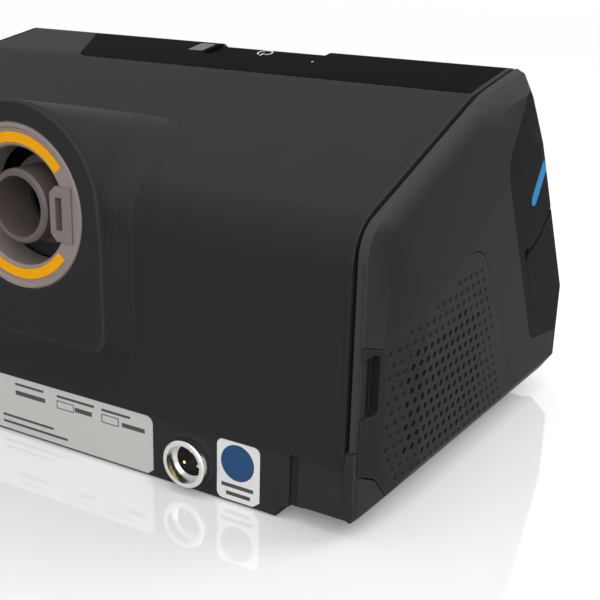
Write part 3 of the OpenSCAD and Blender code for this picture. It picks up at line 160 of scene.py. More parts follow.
def addRoom():
    world = bpy.data.worlds.new("whiteRoom")
    bpy.context.scene.world = world
    world.use_nodes = True
    tree = world.node_tree
    tree.nodes.clear()
    strength = addNode(tree, "ShaderNodeMapRange", None,
                       {"Value": raySeen(tree), "To Min": studio["roomGlow"], "To Max": 1.0}).outputs[0]
    glow = addNode(tree, "ShaderNodeBackground", None, {"Color": (1, 1, 1, 1), "Strength": strength})
    addNode(tree, "ShaderNodeOutputWorld", None, {"Surface": glow.outputs[0]})


def addFloor():
    half = studio["floorSize"] / 2
    mesh = bpy.data.meshes.new("floor")
    mesh.from_pydata([(-half, -half, 0), (half, -half, 0), (half, half, 0), (-half, half, 0)],
                     [], [(0, 1, 2, 3)])
    floor = bpy.data.objects.new("floor", mesh)
    bpy.context.scene.collection.objects.link(floor)
    # polished white laminate: a pale sheet with a clear, low mirror image, greyer in what it throws back
    material, tree, shader = newMaterial("polishedLaminate")
    colour = addNode(tree, "ShaderNodeMix", {"data_type": "RGBA"},
                     {0: raySeen(tree), 6: hexColour(studio["floorBounce"]),
                      7: hexColour(studio["floorColour"])}).outputs[2]
    glow = addNode(tree, "ShaderNodeMapRange", None,
                   {"Value": raySeen(tree), "To Min": 0.0, "To Max": studio["floorGlow"]}).outputs[0]
    setInputs(tree, shader, {"Base Color": colour, "Emission Color": (1, 1, 1, 1), "Emission Strength": glow,
                             "Roughness": studio["floorRough"], "IOR": studio["floorMirror"]})
    mesh.materials.append(material)


addCamera(cameraView)
for lampName, lampSettings in studio["lamps"].items():
    addLamp(lampName, lampSettings)
addRoom()
addFloor()
bpy.context.scene.view_settings.view_transform = "Standard"
print("camera, lamps and floor placed")

# edges are rounded in the shading alone, by each finish's own radius
bevelSamples = {"samples": 6}
# how far an edge has to turn before a highlight is painted on it and its shading is rounded
edgeHighlightTurn = {"onset": 0.955, "full": 0.8}
# how squarely a surface faces the machine's end before it gets the painted shade of the flat end faces
endShadeTurn = {"onset": 0.965, "full": 0.991}
# depths in millimetres at the raised rear face round the outlet: its rim, with a painted highlight, and its
# soft flank
rearFace = {"rimFrom": 74.3, "rimBlend": 0.15, "rimHighlight": 1.5, "rimTurn": (0.985, 0.9),
            "flankFrom": 69.25, "flankStart": 0.3, "flankEnd": 0.2, "flankRound": 2.5}


# 0 on open faces, rising to 1 on edges: where the highlight is painted and the shading is rounded
def edgeHighlightMask(tree, radius, onset):
    true = addNode(tree, "ShaderNodeNewGeometry").outputs["Normal"]
    rounded = addNode(tree, "ShaderNodeBevel", bevelSamples, {"Radius": radius * mm}).outputs["Normal"]
    turned = addNode(tree, "ShaderNodeVectorMath", {"operation": "DOT_PRODUCT"}, {0: true, 1: rounded})
    return addNode(tree, "ShaderNodeMapRange", None,
                   {"Value": turned.outputs["Value"], "From Min": onset, "From Max": edgeHighlightTurn["full"],
                    "To Min": 0.0, "To Max": 1.0}).outputs["Result"]


# 1 on the flat faces of the machine's two ends, where shade is painted
def endShadeMask(tree):
    true = addNode(tree, "ShaderNodeNewGeometry").outputs["Normal"]
    across = addNode(tree, "ShaderNodeSeparateXYZ", None, {0: true}).outputs["X"]
    across = addNode(tree, "ShaderNodeMath", {"operation": "ABSOLUTE"}, {0: across}).outputs[0]
    return addNode(tree, "ShaderNodeMapRange", None,
                   {"Value": across, "From Min": endShadeTurn["onset"], "From Max": endShadeTurn["full"],
                    "To Min": 0.0, "To Max": 1.0}).outputs["Result"]


# 1 on the flank between the shell and the raised rear face, which is one soft sweep without an edge
def rearFlank(tree, depthHere):
    start, stop = rearFace["flankFrom"], rearFace["rimFrom"]
    rising = addNode(tree, "ShaderNodeMapRange", None,
                     {"Value": depthHere, "From Min": start, "From Max": start + rearFace["flankStart"]})
    falling = addNode(tree, "ShaderNodeMapRange", None,
                      {"Value": depthHere, "From Min": stop, "From Max": stop - rearFace["flankEnd"]})
    return addNode(tree, "ShaderNodeMath", {"operation": "MULTIPLY"},
                   {0: rising.outputs["Result"], 1: falling.outputs["Result"]}).outputs[0]


# 1 on the rounded rim of the raised rear face, where a highlight is painted
def rearRimHighlightMask(tree, depthHere):
    true = addNode(tree, "ShaderNodeNewGeometry").outputs["Normal"]
    facing = addNode(tree, "ShaderNodeSeparateXYZ", None, {0: true}).outputs["Y"]
    start = rearFace["rimFrom"]
    behind = addNode(tree, "ShaderNodeMapRange", None,
                     {"Value": depthHere, "From Min": start, "From Max": start + rearFace["rimBlend"]})
    turned = addNode(tree, "ShaderNodeMapRange", None,
                     {"Value": facing, "From Min": rearFace["rimTurn"][0], "From Max": rearFace["rimTurn"][1]})
    return addNode(tree, "ShaderNodeMath", {"operation": "MULTIPLY"},
                   {0: behind.outputs["Result"], 1: turned.outputs["Result"]}).outputs[0]


# ABS moulded in a spark-eroded tool: an even, dull grain, with painted highlights on its edges
def mouldedAbs(name, hexText, rough=0.58, grain=0.45, depth=0.02, edge=0.4, mottle=0.05, specular=0.2,
               paintedEdgePale=1.25, edgeOnset=edgeHighlightTurn["onset"], paintedEndShade=1.0, withRearFace=False):
    material, tree, shader = newMaterial(name)
    base = hexColour(hexText)
    place = millimetres(tree)
    cloud = addNode(tree, "ShaderNodeTexNoise", None,
                    {"Vector": place, "Scale": 1 / 14, "Detail": 2}).outputs["Fac"]
    tone = addNode(tree, "ShaderNodeMix", {"data_type": "RGBA"},
                   {0: cloud, 6: shade(base, 1 - mottle), 7: shade(base, 1 + mottle)}).outputs[2]
    if paintedEndShade < 1:
        # painted shade: the flat end faces are darkened, so that the rounded rim beside them looks lit
        tone = addNode(tree, "ShaderNodeMix", {"data_type": "RGBA"},
                       {0: endShadeMask(tree), 6: tone, 7: shade(base, paintedEndShade)}).outputs[2]
    paintedEdgeLight = edgeHighlightMask(tree, edge, edgeOnset)
    if withRearFace:
        depthHere = addNode(tree, "ShaderNodeSeparateXYZ", None, {0: place}).outputs["Y"]
        flank = rearFlank(tree, depthHere)
        # the flank gets no painted highlight
        paintedEdgeLight = addNode(tree, "ShaderNodeMix", {"data_type": "RGBA"},
                       {0: flank, 6: paintedEdgeLight, 7: (0, 0, 0, 1)}).outputs[2]
    # painted highlight: edges mixed towards a paler copy of the colour
    tone = addNode(tree, "ShaderNodeMix", {"data_type": "RGBA"},
                   {0: paintedEdgeLight, 6: tone, 7: shade(base, paintedEdgePale)}).outputs[2]
    # painted highlight on the rounded rim of the raised rear face
    if withRearFace:
        tone = addNode(tree, "ShaderNodeMix", {"data_type": "RGBA"},
                       {0: rearRimHighlightMask(tree, depthHere), 6: tone, 7: shade(base, rearFace["rimHighlight"])}).outputs[2]
    # rounded only at real edges, so that the curved skin between them stays even
    true = addNode(tree, "ShaderNodeNewGeometry").outputs["Normal"]
    rounded = addNode(tree, "ShaderNodeBevel", bevelSamples, {"Radius": edge * mm}).outputs["Normal"]
    bent = addNode(tree, "ShaderNodeMix", {"data_type": "VECTOR"}, {0: paintedEdgeLight, 4: true, 5: rounded}).outputs[1]
    if withRearFace:
        swept = addNode(tree, "ShaderNodeBevel", bevelSamples,
                        {"Radius": rearFace["flankRound"] * mm}).outputs["Normal"]
        bent = addNode(tree, "ShaderNodeMix", {"data_type": "VECTOR"},
                       {0: flank, 4: bent, 5: swept}).outputs[1]
    # grain drawn at about half a millimetre, coarser than the real tool's, so that it shows
    pits = addNode(tree, "ShaderNodeTexNoise", None,
                   {"Vector": place, "Scale": 1 / grain, "Detail": 3, "Roughness": 0.6}).outputs["Fac"]
    bump = addNode(tree, "ShaderNodeBump", None,
                   {"Strength": 0.35, "Distance": depth * mm, "Height": pits, "Normal": bent}).outputs[0]
    dull = addNode(tree, "ShaderNodeMapRange", None,
                   {"Value": pits, "To Min": rough - 0.05, "To Max": rough + 0.07})
    setInputs(tree, shader, {"Base Color": tone, "Roughness": dull.outputs["Result"], "Normal": bump,
                             "IOR": 1.5, "Specular IOR Level": specular})
    return material


# polished acrylic or ABS: black depth under a clear, slightly uneven skin
def polishedAbs(name, hexText, rough=0.12, edge=0.3, specular=0.5):
    material, tree, shader = newMaterial(name)
    base = hexColour(hexText)
    film = addNode(tree, "ShaderNodeTexNoise", None,
                   {"Vector": millimetres(tree), "Scale": 1 / 9, "Detail": 3}).outputs["Fac"]
    rounded = addNode(tree, "ShaderNodeBevel", bevelSamples, {"Radius": edge * mm}).outputs["Normal"]
    ripple = addNode(tree, "ShaderNodeBump", None,
                     {"Strength": 0.05, "Distance": 0.05 * mm, "Height": film, "Normal": rounded}).outputs[0]
    tone = addNode(tree, "ShaderNodeMix", {"data_type": "RGBA"},
                   {0: film, 6: shade(base, 0.94), 7: shade(base, 1.06)})
    gloss = addNode(tree, "ShaderNodeMapRange", None,
                    {"Value": film, "To Min": rough * 0.8, "To Max": rough * 1.3})
    setInputs(tree, shader, {"Base Color": tone.outputs[2], "Roughness": gloss.outputs["Result"],
                             "Normal": ripple, "IOR": 1.5, "Specular IOR Level": specular})
    return material


# silicone and TPE: a soft, waxy skin with a sheen at its rim
def mouldedRubber(name, hexText, rough=0.6, sheen=0.2, edge=0.3):
    material, tree, shader = newMaterial(name)
    base = hexColour(hexText)
    dust = addNode(tree, "ShaderNodeTexNoise", None,
                   {"Vector": millimetres(tree), "Scale": 1 / 0.8, "Detail": 4}).outputs["Fac"]
    rounded = addNode(tree, "ShaderNodeBevel", bevelSamples, {"Radius": edge * mm}).outputs["Normal"]
    bump = addNode(tree, "ShaderNodeBump", None,
                   {"Strength": 0.2, "Distance": 0.03 * mm, "Height": dust, "Normal": rounded}).outputs[0]
    tone = addNode(tree, "ShaderNodeMix", {"data_type": "RGBA"},
                   {0: dust, 6: shade(base, 0.9), 7: shade(base, 1.1)})
    dull = addNode(tree, "ShaderNodeMapRange", None,
                   {"Value": dust, "To Min": rough - 0.06, "To Max": rough + 0.08})
    setInputs(tree, shader, {"Base Color": tone.outputs[2], "Roughness": dull.outputs["Result"],
                             "Normal": bump, "IOR": 1.42, "Sheen Weight": sheen, "Specular IOR Level": 0.2})
    return material


# plated, turned or pressed metal: fine lines along the tool's path round or along an axis
def workedMetal(name, hexText, rough=0.28, line=0.25, along=(1, 1, 1), lineDepth=0.01, edge=0.2):
    material, tree, shader = newMaterial(name)
    base = hexColour(hexText)
    marks = addNode(tree, "ShaderNodeTexNoise", None,
                    {"Vector": millimetres(tree, along), "Scale": 1 / line, "Detail": 3,
                     "Roughness": 0.7}).outputs["Fac"]
    rounded = addNode(tree, "ShaderNodeBevel", bevelSamples, {"Radius": edge * mm}).outputs["Normal"]
    bump = addNode(tree, "ShaderNodeBump", None,
                   {"Strength": 0.3, "Distance": lineDepth * mm, "Height": marks,
                    "Normal": rounded}).outputs[0]
    tone = addNode(tree, "ShaderNodeMix", {"data_type": "RGBA"},
                   {0: marks, 6: shade(base, 0.92), 7: shade(base, 1.05)})
    dull = addNode(tree, "ShaderNodeMapRange", None,
                   {"Value": marks, "To Min": rough - 0.06, "To Max": rough + 0.08})
    setInputs(tree, shader, {"Base Color": tone.outputs[2], "Roughness": dull.outputs["Result"],
                             "Normal": bump, "Metallic": 1.0})
    return material


# needled polyester felt: crossing fibres, open and dry
def needledFelt(name, hexText, fibre=0.35):
    material, tree, shader = newMaterial(name)
    base = hexColour(hexText)
    layers = [addNode(tree, "ShaderNodeTexNoise", None,
                      {"Vector": millimetres(tree, lying), "Scale": 1 / fibre, "Detail": 5,
                       "Roughness": 0.7}).outputs["Fac"] for lying in ((1, 1, 0.25), (1, 0.25, 1))]
    web = addNode(tree, "ShaderNodeMath", {"operation": "MULTIPLY"}, {0: layers[0], 1: layers[1]}).outputs[0]
    bump = addNode(tree, "ShaderNodeBump", None, {"Strength": 0.8, "Distance": 0.25 * mm, "Height": web})
    loft = addNode(tree, "ShaderNodeMapRange", None,
                   {"Value": web, "To Min": 0, "To Max": 3}).outputs["Result"]
    tone = addNode(tree, "ShaderNodeMix", {"data_type": "RGBA"}, {0: loft, 6: shade(base, 0.62), 7: base})
    setInputs(tree, shader, {"Base Color": tone.outputs[2], "Normal": bump.outputs[0], "Roughness": 0.95,
                             "Sheen Weight": 0.3})
    return material


# printed polyester label: flat ink over a satin film with a faint brushed streak
def printedFilm(name, hexText, rough=0.4, streak=0.03):
    material, tree, shader = newMaterial(name)
    base = hexColour(hexText)
    lines = addNode(tree, "ShaderNodeTexNoise", None,
                    {"Vector": millimetres(tree, (0.02, 1, 1)), "Scale": 1 / 0.35, "Detail": 3,
                     "Roughness": 0.6}).outputs["Fac"]
    tone = addNode(tree, "ShaderNodeMix", {"data_type": "RGBA"},
                   {0: lines, 6: shade(base, 1 - streak), 7: shade(base, 1 + streak)})
    satin = addNode(tree, "ShaderNodeMapRange", None,
                    {"Value": lines, "To Min": rough - 0.05, "To Max": rough + 0.05})
    setInputs(tree, shader, {"Base Color": tone.outputs[2], "Roughness": satin.outputs["Result"], "IOR": 1.5})
    return material


# clear or smoked polycarbonate: see-through with a slight frost from the tool
def clearPolycarbonate(name, hexText, rough=0.12, through=0.9, frost=0.6, edge=0.3):
    material, tree, shader = newMaterial(name)
    base = hexColour(hexText)
    haze = addNode(tree, "ShaderNodeTexNoise", None,
                   {"Vector": millimetres(tree), "Scale": 1 / frost, "Detail": 3}).outputs["Fac"]
    rounded = addNode(tree, "ShaderNodeBevel", bevelSamples, {"Radius": edge * mm}).outputs["Normal"]
    bump = addNode(tree, "ShaderNodeBump", None,
                   {"Strength": 0.08, "Distance": 0.02 * mm, "Height": haze, "Normal": rounded}).outputs[0]
    tone = addNode(tree, "ShaderNodeMix", {"data_type": "RGBA"},
                   {0: haze, 6: shade(base, 0.97), 7: shade(base, 1.03)})
    gloss = addNode(tree, "ShaderNodeMapRange", None,
                    {"Value": haze, "To Min": rough * 0.7, "To Max": rough * 1.4})
    setInputs(tree, shader, {"Base Color": tone.outputs[2], "Roughness": gloss.outputs["Result"],
                             "Normal": bump, "IOR": 1.58, "Transmission Weight": through})
    return material


# glass-epoxy board under green solder resist, with copper tracks showing through
def epoxyBoard(name, hexText, trackMm=1.6):
    material, tree, shader = newMaterial(name)
    base = hexColour(hexText)
    tracks = addNode(tree, "ShaderNodeTexBrick", None,
                     {"Vector": millimetres(tree), "Scale": 1 / trackMm / 4, "Mortar Size": 0.035,
                      "Brick Width": 1.4, "Row Height": 0.35, "Color1": (0, 0, 0, 1),
                      "Color2": (0.15, 0.15, 0.15, 1), "Mortar": (1, 1, 1, 1)}).outputs["Fac"]
    tone = addNode(tree, "ShaderNodeMix", {"data_type": "RGBA"}, {0: tracks, 6: base, 7: shade(base, 1.9)})
    bump = addNode(tree, "ShaderNodeBump", None, {"Strength": 0.3, "Distance": 0.04 * mm, "Height": tracks})
    setInputs(tree, shader, {"Base Color": tone.outputs[2], "Normal": bump.outputs[0], "Roughness": 0.35})
    return material


# varnished copper wire wound in tight turns round the machine's upright motor
def woundCopper(name, hexText, wireMm=0.6):
    material, tree, shader = newMaterial(name)
    base = hexColour(hexText)
    turns = addNode(tree, "ShaderNodeTexWave", {"wave_type": "BANDS", "bands_direction": "Z"},
                    {"Vector": millimetres(tree), "Scale": 0.31 / wireMm, "Distortion": 0.6}).outputs["Fac"]
    tone = addNode(tree, "ShaderNodeMix", {"data_type": "RGBA"}, {0: turns, 6: shade(base, 0.35), 7: base})
    bump = addNode(tree, "ShaderNodeBump", None, {"Strength": 0.7, "Distance": 0.2 * mm, "Height": turns})
    setInputs(tree, shader, {"Base Color": tone.outputs[2], "Normal": bump.outputs[0], "Metallic": 0.85,
                             "Roughness": 0.32})
    return material


finishes = {
    # strong painted highlights on the housing's edges and on the rims of the filter cover's holes
    "housingAbs": mouldedAbs("housingAbs", "#2e2e2f", edge=0.7, paintedEdgePale=2.8, edgeOnset=0.9, specular=0.05,
                             withRearFace=True),
    # painted shade darkens the bezel's flat end faces to 0.36 of its colour
    "bezelAbs": mouldedAbs("bezelAbs", "#3d3d3e", paintedEdgePale=1.3, paintedEndShade=0.36, specular=0.07),
    "coverAbs": mouldedAbs("coverAbs", "#222222", grain=0.4, edge=0.8, paintedEdgePale=3.0, specular=0.08),
    "insertAbs": mouldedAbs("insertAbs", "#211f1f", grain=0.4, specular=0.015),
    "baseAbs": mouldedAbs("baseAbs", "#323233", rough=0.56, paintedEdgePale=1.7, specular=0.07),
    "fasciaAbs": mouldedAbs("fasciaAbs", "#18181a", rough=0.46, grain=0.35),
    "bandAbs": mouldedAbs("bandAbs", "#101011", rough=0.5, grain=0.3, specular=0.004),
    "blackAcrylic": polishedAbs("blackAcrylic", "#070708", rough=0.05),
    "smokedWindow": polishedAbs("smokedWindow", "#2c2f31", rough=0.12, specular=0.12),
    "dialAbs": polishedAbs("dialAbs", "#101011", rough=0.28),
    "satinAluminium": workedMetal("satinAluminium", "#b4b5b8", rough=0.24, along=(1, 1, 1)),
    "greenBoard": epoxyBoard("greenBoard", "#14512f"),
    "packageEpoxy": mouldedAbs("packageEpoxy", "#161617", rough=0.45, edge=0.1),
    "tinnedSteel": workedMetal("tinnedSteel", "#c4c5c6", rough=0.22),
    "rolledSteel": workedMetal("rolledSteel", "#9fa3a5", rough=0.35, along=(0.1, 1, 1)),
    "cardAbs": mouldedAbs("cardAbs", "#1b3f7a", rough=0.4, edge=0.15),
    "zincSteel": workedMetal("zincSteel", "#b9bcc0", rough=0.25),
    "filterFelt": needledFelt("filterFelt", "#ece9e2"),
    "frameAbs": mouldedAbs("frameAbs", "#222426"),
    "blowerAbs": mouldedAbs("blowerAbs", "#c6c4be", rough=0.45),
    "impellerPbt": mouldedAbs("impellerPbt", "#e2dfd6", rough=0.35, edge=0.2),
    "groundSteel": workedMetal("groundSteel", "#c9cacc", rough=0.12, along=(1, 1, 6)),
    "sinteredMagnet": workedMetal("sinteredMagnet", "#47484c", rough=0.5, line=0.5),
    "woundCopper": woundCopper("woundCopper", "#b8692f"),
    "bearingSteel": workedMetal("bearingSteel", "#bfc1c4", rough=0.18),
    "greyTpe": mouldedRubber("greyTpe", "#5f6568"),
    "clearSilicone": mouldedRubber("clearSilicone", "#b9c4c8", rough=0.45, sheen=0.4),
    "ductPp": mouldedAbs("ductPp", "#3a3f42", rough=0.48),
    "outletAbs": mouldedAbs("outletAbs", "#8b807c", rough=0.42, grain=0.3, depth=0.012, edge=0.35,
                            specular=0.5),
    "coneAbs": mouldedAbs("coneAbs", "#5f5552", rough=0.42, grain=0.3, depth=0.012, edge=0.35, specular=0.4),
    "contactAbs": mouldedAbs("contactAbs", "#7c716d", rough=0.45, grain=0.3, edge=0.3, specular=0.5),
    "orangeTpe": mouldedRubber("orangeTpe", "#ffac00", rough=0.6, sheen=0.0, edge=0.2),
    "castAluminium": workedMetal("castAluminium", "#b7b9bb", rough=0.34, along=(0.08, 1, 1)),
    "fibreBoard": mouldedAbs("fibreBoard", "#d3ccb9", rough=0.85, grain=0.9, depth=0.08),
    "clearTub": clearPolycarbonate("clearTub", "#dbe8ee"),
    "smokedLid": clearPolycarbonate("smokedLid", "#8f9aa1", rough=0.2, through=0.65),
    "pressedSteel": workedMetal("pressedSteel", "#bcbdc0", rough=0.3, along=(0.1, 1, 1)),
    "platedBrass": workedMetal("platedBrass", "#d7d7d5", rough=0.2, line=0.35, along=(1, 6, 1)),
    "inletPbt": mouldedAbs("inletPbt", "#0f0f10", rough=0.5, edge=0.15),
    "goldPins": workedMetal("goldPins", "#e3c986", rough=0.2),
    "silverFilm": printedFilm("silverFilm", "#cfcecb"),
    "whiteFilm": printedFilm("whiteFilm", "#f0efed", rough=0.38, streak=0.01),
    "footTpe": mouldedRubber("footTpe", "#181818", rough=0.75),
}
nodeFinish = {
    "housingAbs": ["rear_housing"],
    "bezelAbs": ["left_end_bezel", "right_end_bezel"],
    "coverAbs": ["filter_cover"],
    "insertAbs": ["side_insert", "sd_cover"],
    "baseAbs": ["base_chassis", "tub_bay"],
    "fasciaAbs": ["front_fascia", "tub_front"],
    "bandAbs": ["top_band", "start_button"],
    "blackAcrylic": ["lcd_lens"],
    "smokedWindow": ["light_sensor_window"],
    "dialAbs": ["dial_knob", "home_button"],
    "satinAluminium": ["dial_ring"],
    "greenBoard": ["start_board", "ui_board", "main_board"],
    "packageEpoxy": ["dial_encoder", "board_parts", "flow_sensor"],
    "tinnedSteel": ["panel_switches", "sd_socket"],
    "rolledSteel": ["lcd_module", "modem_module"],
    "cardAbs": ["sd_card"],
    "zincSteel": ["screws"],
    "filterFelt": ["air_filter"],
    "frameAbs": ["filter_frame"],
    "blowerAbs": ["blower_lower", "blower_upper"],
    "impellerPbt": ["impeller"],
    "groundSteel": ["motor_shaft"],
    "sinteredMagnet": ["rotor_magnet"],
    "woundCopper": ["motor_stator"],
    "bearingSteel": ["motor_bearings"],
    "greyTpe": ["blower_mounts", "duct_bellows"],
    "clearSilicone": ["port_seals", "tub_seal"],
    "ductPp": ["air_duct", "outlet_plenum"],
    "outletAbs": ["outlet_ring"],
    "coneAbs": ["outlet_port"],
    "contactAbs": ["contact_block"],
    "orangeTpe": ["outlet_marks"],
    "castAluminium": ["heater_plate"],
    "fibreBoard": ["heater_insulator"],
    "clearTub": ["tub_base"],
    "smokedLid": ["tub_lid"],
    "pressedSteel": ["tub_plate"],
    "platedBrass": ["power_inlet_shell"],
    "inletPbt": ["power_inlet_core"],
    "goldPins": ["power_pins", "encoder_rotor"],
    "silverFilm": ["rear_label_plate"],
    "whiteFilm": ["disc_label"],
    "footTpe": ["rubber_feet"],
}


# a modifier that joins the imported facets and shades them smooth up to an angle
def smoothGroup(limit):
    group = bpy.data.node_groups.new("smoothTo" + str(limit), "GeometryNodeTree")
    group.interface.new_socket("Geometry", in_out="INPUT", socket_type="NodeSocketGeometry")
    group.interface.new_socket("Geometry", in_out="OUTPUT", socket_type="NodeSocketGeometry")
    start = addNode(group, "NodeGroupInput").outputs[0]
    joined = addNode(group, "GeometryNodeMergeByDistance", None,
                     {"Geometry": start, "Distance": 0.002 * mm}).outputs[0]
    plain = addNode(group, "GeometryNodeRemoveAttribute", None,
                    {"Geometry": joined, "Name": "custom_normal"}).outputs[0]
    angle = addNode(group, "GeometryNodeInputMeshEdgeAngle").outputs["Unsigned Angle"]
    sharp = addNode(group, "FunctionNodeCompare", {"operation": "GREATER_THAN"},
                    {0: angle, 1: math.radians(limit)}).outputs[0]
    smooth = addNode(group, "GeometryNodeSetShadeSmooth", {"domain": "FACE"},
                     {"Geometry": plain, "Shade Smooth": True}).outputs[0]
    edges = addNode(group, "GeometryNodeSetShadeSmooth", {"domain": "EDGE"},
                    {"Geometry": smooth, "Selection": sharp, "Shade Smooth": False}).outputs[0]
    addNode(group, "NodeGroupOutput", None, {"Geometry": edges})
    return group


# degrees up to which a crease is shaded smooth: the swept housing's own facets are coarser than most
creaseLimit = {"most": 24, "rear_housing": 38}
smoothers = {wearer: smoothGroup(limit) for wearer, limit in creaseLimit.items()}


def dress(piece, material):
    piece.data.materials.clear()
    piece.data.materials.append(material)


for finishName, wearers in nodeFinish.items():
    for wearer in wearers:
        dress(nodes[wearer], finishes[finishName])
        smoother = nodes[wearer].modifiers.new("smoothByAngle", "NODES")
        smoother.node_group = smoothers.get(wearer, smoothers["most"])
        flatter = nodes[wearer].modifiers.new("flatFacesFirst", "WEIGHTED_NORMAL")
        flatter.mode, flatter.weight, flatter.keep_sharp = "FACE_AREA", 50, True
print("finishes given to", sum(len(w) for w in nodeFinish.values()), "nodes")


# screen ink: flat and dense, a touch uneven where it was pulled over the grain
def screenInk(name, hexText, rough=0.45, specular=0.3):
    material, tree, shader = newMaterial(name)
    base = hexColour(hexText)
    pull = addNode(tree, "ShaderNodeTexNoise", None,
                   {"Vector": millimetres(tree, (1, 0.3, 1)), "Scale": 1 / 0.5, "Detail": 4}).outputs["Fac"]
    tone = addNode(tree, "ShaderNodeMix", {"data_type": "RGBA"},
                   {0: pull, 6: shade(base, 0.93), 7: shade(base, 1.04)})
    dull = addNode(tree, "ShaderNodeMapRange", None,
                   {"Value": pull, "To Min": rough - 0.05, "To Max": rough + 0.1})
    setInputs(tree, shader, {"Base Color": tone.outputs[2], "Roughness": dull.outputs["Result"],
                             "Specular IOR Level": specular})
    return material


# the outline of a line of ink with round ends, in millimetres
def inkStroke(points, width):
    points = [Vector(p) for p in points]
    left, right = [], []
    for i, p in enumerate(points):
        ahead = points[min(i + 1, len(points) - 1)] - points[max(i - 1, 0)]
        side = Vector((-ahead.y, ahead.x)).normalized() * width / 2
        left.append(p + side)
        right.append(p - side)

    def roundEnd(middle, first, steps=6):
        return [middle + Matrix.Rotation(-math.pi * k / steps, 2) @ (first - middle) for k in range(1, steps)]

    return left + roundEnd(points[-1], left[-1]) + right[::-1] + roundEnd(points[0], right[0])


def inkBar(low, high):
    (x0, y0), (x1, y1) = low, high
    return [Vector(p) for p in ((x0, y0), (x1, y0), (x1, y1), (x0, y1))]


# an empty box drawn with four bars that meet at its corners
def inkFrame(low, high, line):
    return [inkBar(low, (high[0], low[1] + line)), inkBar((low[0], high[1] - line), high),
            inkBar((low[0], low[1] + line), (low[0] + line, high[1] - line)),
            inkBar((high[0] - line, low[1] + line), (high[0], high[1] - line))]


def inkArc(middle, radius, start, stop, steps=24):
    return [(middle[0] + radius * math.cos(math.radians(start + (stop - start) * k / steps)),
             middle[1] + radius * math.sin(math.radians(start + (stop - start) * k / steps)))
            for k in range(steps + 1)]


# where a print's own directions point: its middle or a place outside, its right, its up and the way in
printViews = {
    "side": ((-0.12, 0, 0), (0, 1, 0), (0, 0, 1), (1, 0, 0)),
    "rear": ((0, 0.09, 0), (1, 0, 0), (0, 0, 1), (0, -1, 0)),
    "top": ((0, 0, 0.13), (1, 0, 0), (0, 1, 0), (0, 0, -1)),
}


# closed ink shapes laid on a node's own surface, seen along a direction, a hair proud of it
def layPrint(name, outlines, view, wearer, body, material, proud=0.04, sunk=0.02):
    origin, right, up, into = (Vector(part) for part in view)
    surface = BVHTree.FromObject(nodes[wearer], bpy.context.evaluated_depsgraph_get())
    sheet = bmesh.new()
    for outline in outlines:
        tops, feet = [], []
        for p in outline:
            place = surface.ray_cast(origin + (right * p[0] + up * p[1]) * mm, into)[0]
            if place is None:
                raise ValueError("print " + name + " runs off " + wearer)
            tops.append(sheet.verts.new(place - into * proud * mm))
            feet.append(sheet.verts.new(place + into * sunk * mm))
        sheet.faces.new(tops)
        sheet.faces.new(feet[::-1])
        for i in range(len(tops)):
            j = (i + 1) % len(tops)
            sheet.faces.new((tops[j], tops[i], feet[i], feet[j]))
    bmesh.ops.recalc_face_normals(sheet, faces=sheet.faces)
    bmesh.ops.triangulate(sheet, faces=[f for f in sheet.faces if len(f.verts) > 4])
    mesh = bpy.data.meshes.new(name)
    sheet.to_mesh(mesh)
    sheet.free()
    mesh.materials.append(material)
    piece = bpy.data.objects.new(name, mesh)
    bpy.context.scene.collection.objects.link(piece)
    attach(piece, body)
    return piece


whiteInk = screenInk("whiteInk", "#d9dadb")
greyInk = screenInk("greyInk", "#4c4d4f")
blueInk = screenInk("blueInk", "#1d4a78")
cyanInk = screenInk("cyanInk", "#0089c9", specular=0.1)
clearLed = polishedAbs("clearLed", "#c9cdd0", rough=0.15)

# the mark on the left end: one plain slanting bar
sideMark = {"start": (-43.6, 84.5), "stop": (-37.3, 75.1), "width": 4.8}
layPrint("side_mark", [inkStroke([sideMark["start"], sideMark["stop"]], sideMark["width"])],
         printViews["side"], "side_insert", "machine", cyanInk)

# on the start button: a standby symbol and the lens of a light that is off
startMark = {"middle": (-9.5, -23), "radius": 2.5, "gap": 34, "line": 0.55, "bar": 2.6, "barFoot": 0.6,
             "lens": (-31.2, -17.7), "lensRadius": 0.55}
markX, markY = startMark["middle"]
barFoot = markY + startMark["barFoot"]
layPrint("start_symbol",
         [inkStroke(inkArc(startMark["middle"], startMark["radius"], 90 + startMark["gap"],
                           450 - startMark["gap"]), startMark["line"]),
          inkStroke([(markX, barFoot), (markX, barFoot + startMark["bar"])], startMark["line"])],
         printViews["top"], "start_button", "start", whiteInk)
layPrint("start_light", [inkArc(startMark["lens"], startMark["lensRadius"], 0, 345, 23)],
         printViews["top"], "start_button", "start", clearLed, proud=0.15)

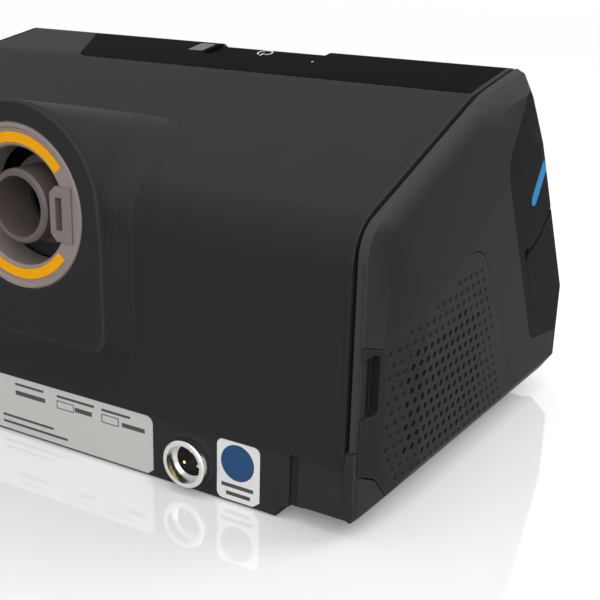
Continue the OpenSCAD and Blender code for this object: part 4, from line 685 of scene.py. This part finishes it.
# on the home button: a plain house
homeInto = Vector((0, 0, -1))
for joint in frame["record"]["behaviour"]["joints"]:
    if joint["name"] == "home_press":
        homeInto = Vector(joint["axis"]).normalized()
homeLow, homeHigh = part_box("home_button")
homeMark = {"roof": [(-2.7, 0.1), (0, 2.6), (2.7, 0.1)],
            "walls": [(-1.8, -0.5), (-1.8, -2.3), (1.8, -2.3), (1.8, -0.5)], "line": 0.5, "viewedFrom": 30}
homeRight = Vector((1, 0, 0))
homeView = ((homeLow + homeHigh) / 2 - homeInto * homeMark["viewedFrom"] * mm, homeRight,
            (-homeInto).cross(homeRight), homeInto)
layPrint("home_symbol", [inkStroke(homeMark[part], homeMark["line"]) for part in ("roof", "walls")],
         homeView, "home_button", "home", whiteInk)

# the two labels: bars, empty boxes and a plain disc
# each bar or box is given by two of its corners, in millimetres across and up
plateBars = [((-0.8, 13.7), (-7.6, 15.2)), ((6.4, 16.9), (-8.6, 17.7)), ((-11.5, 16.8), (-22.6, 17.6)),
             ((-19.3, 13.5), (-28, 14.9)), ((24, 13.6), (11.4, 15.1)), ((24, 16.9), (12, 17.7)),
             ((30, 5.2), (8.4, 6)), ((30, 2.9), (2.6, 3.7)), ((61, 15.2), (40, 17.2)),
             ((61, 10.8), (46, 11.9)), ((61, 8.2), (42, 9))]
plateBoxes = [((-0.4, 13.2), (6.6, 15.9)), ((-18.1, 13.1), (-11.4, 15.9))]
layPrint("plate_print",
         [inkBar((min(a[0], b[0]), a[1]), (max(a[0], b[0]), b[1])) for a, b in plateBars]
         + [bar for a, b in plateBoxes for bar in inkFrame(a, b, 0.28)],
         printViews["rear"], "rear_label_plate", "machine", greyInk)
labelMark = {"middle": (-61, 13), "radius": 5.6,
             "bars": [((-66.4, 4.9), (-55.6, 6.1)), ((-65.4, 2.4), (-57.2, 3.6))]}
layPrint("disc_print", [inkArc(labelMark["middle"], labelMark["radius"], 0, 355, 71)],
         printViews["rear"], "disc_label", "machine", blueInk)
layPrint("disc_bars", [inkBar(a, b) for a, b in labelMark["bars"]],
         printViews["rear"], "disc_label", "machine", greyInk)
print("prints laid on their surfaces")
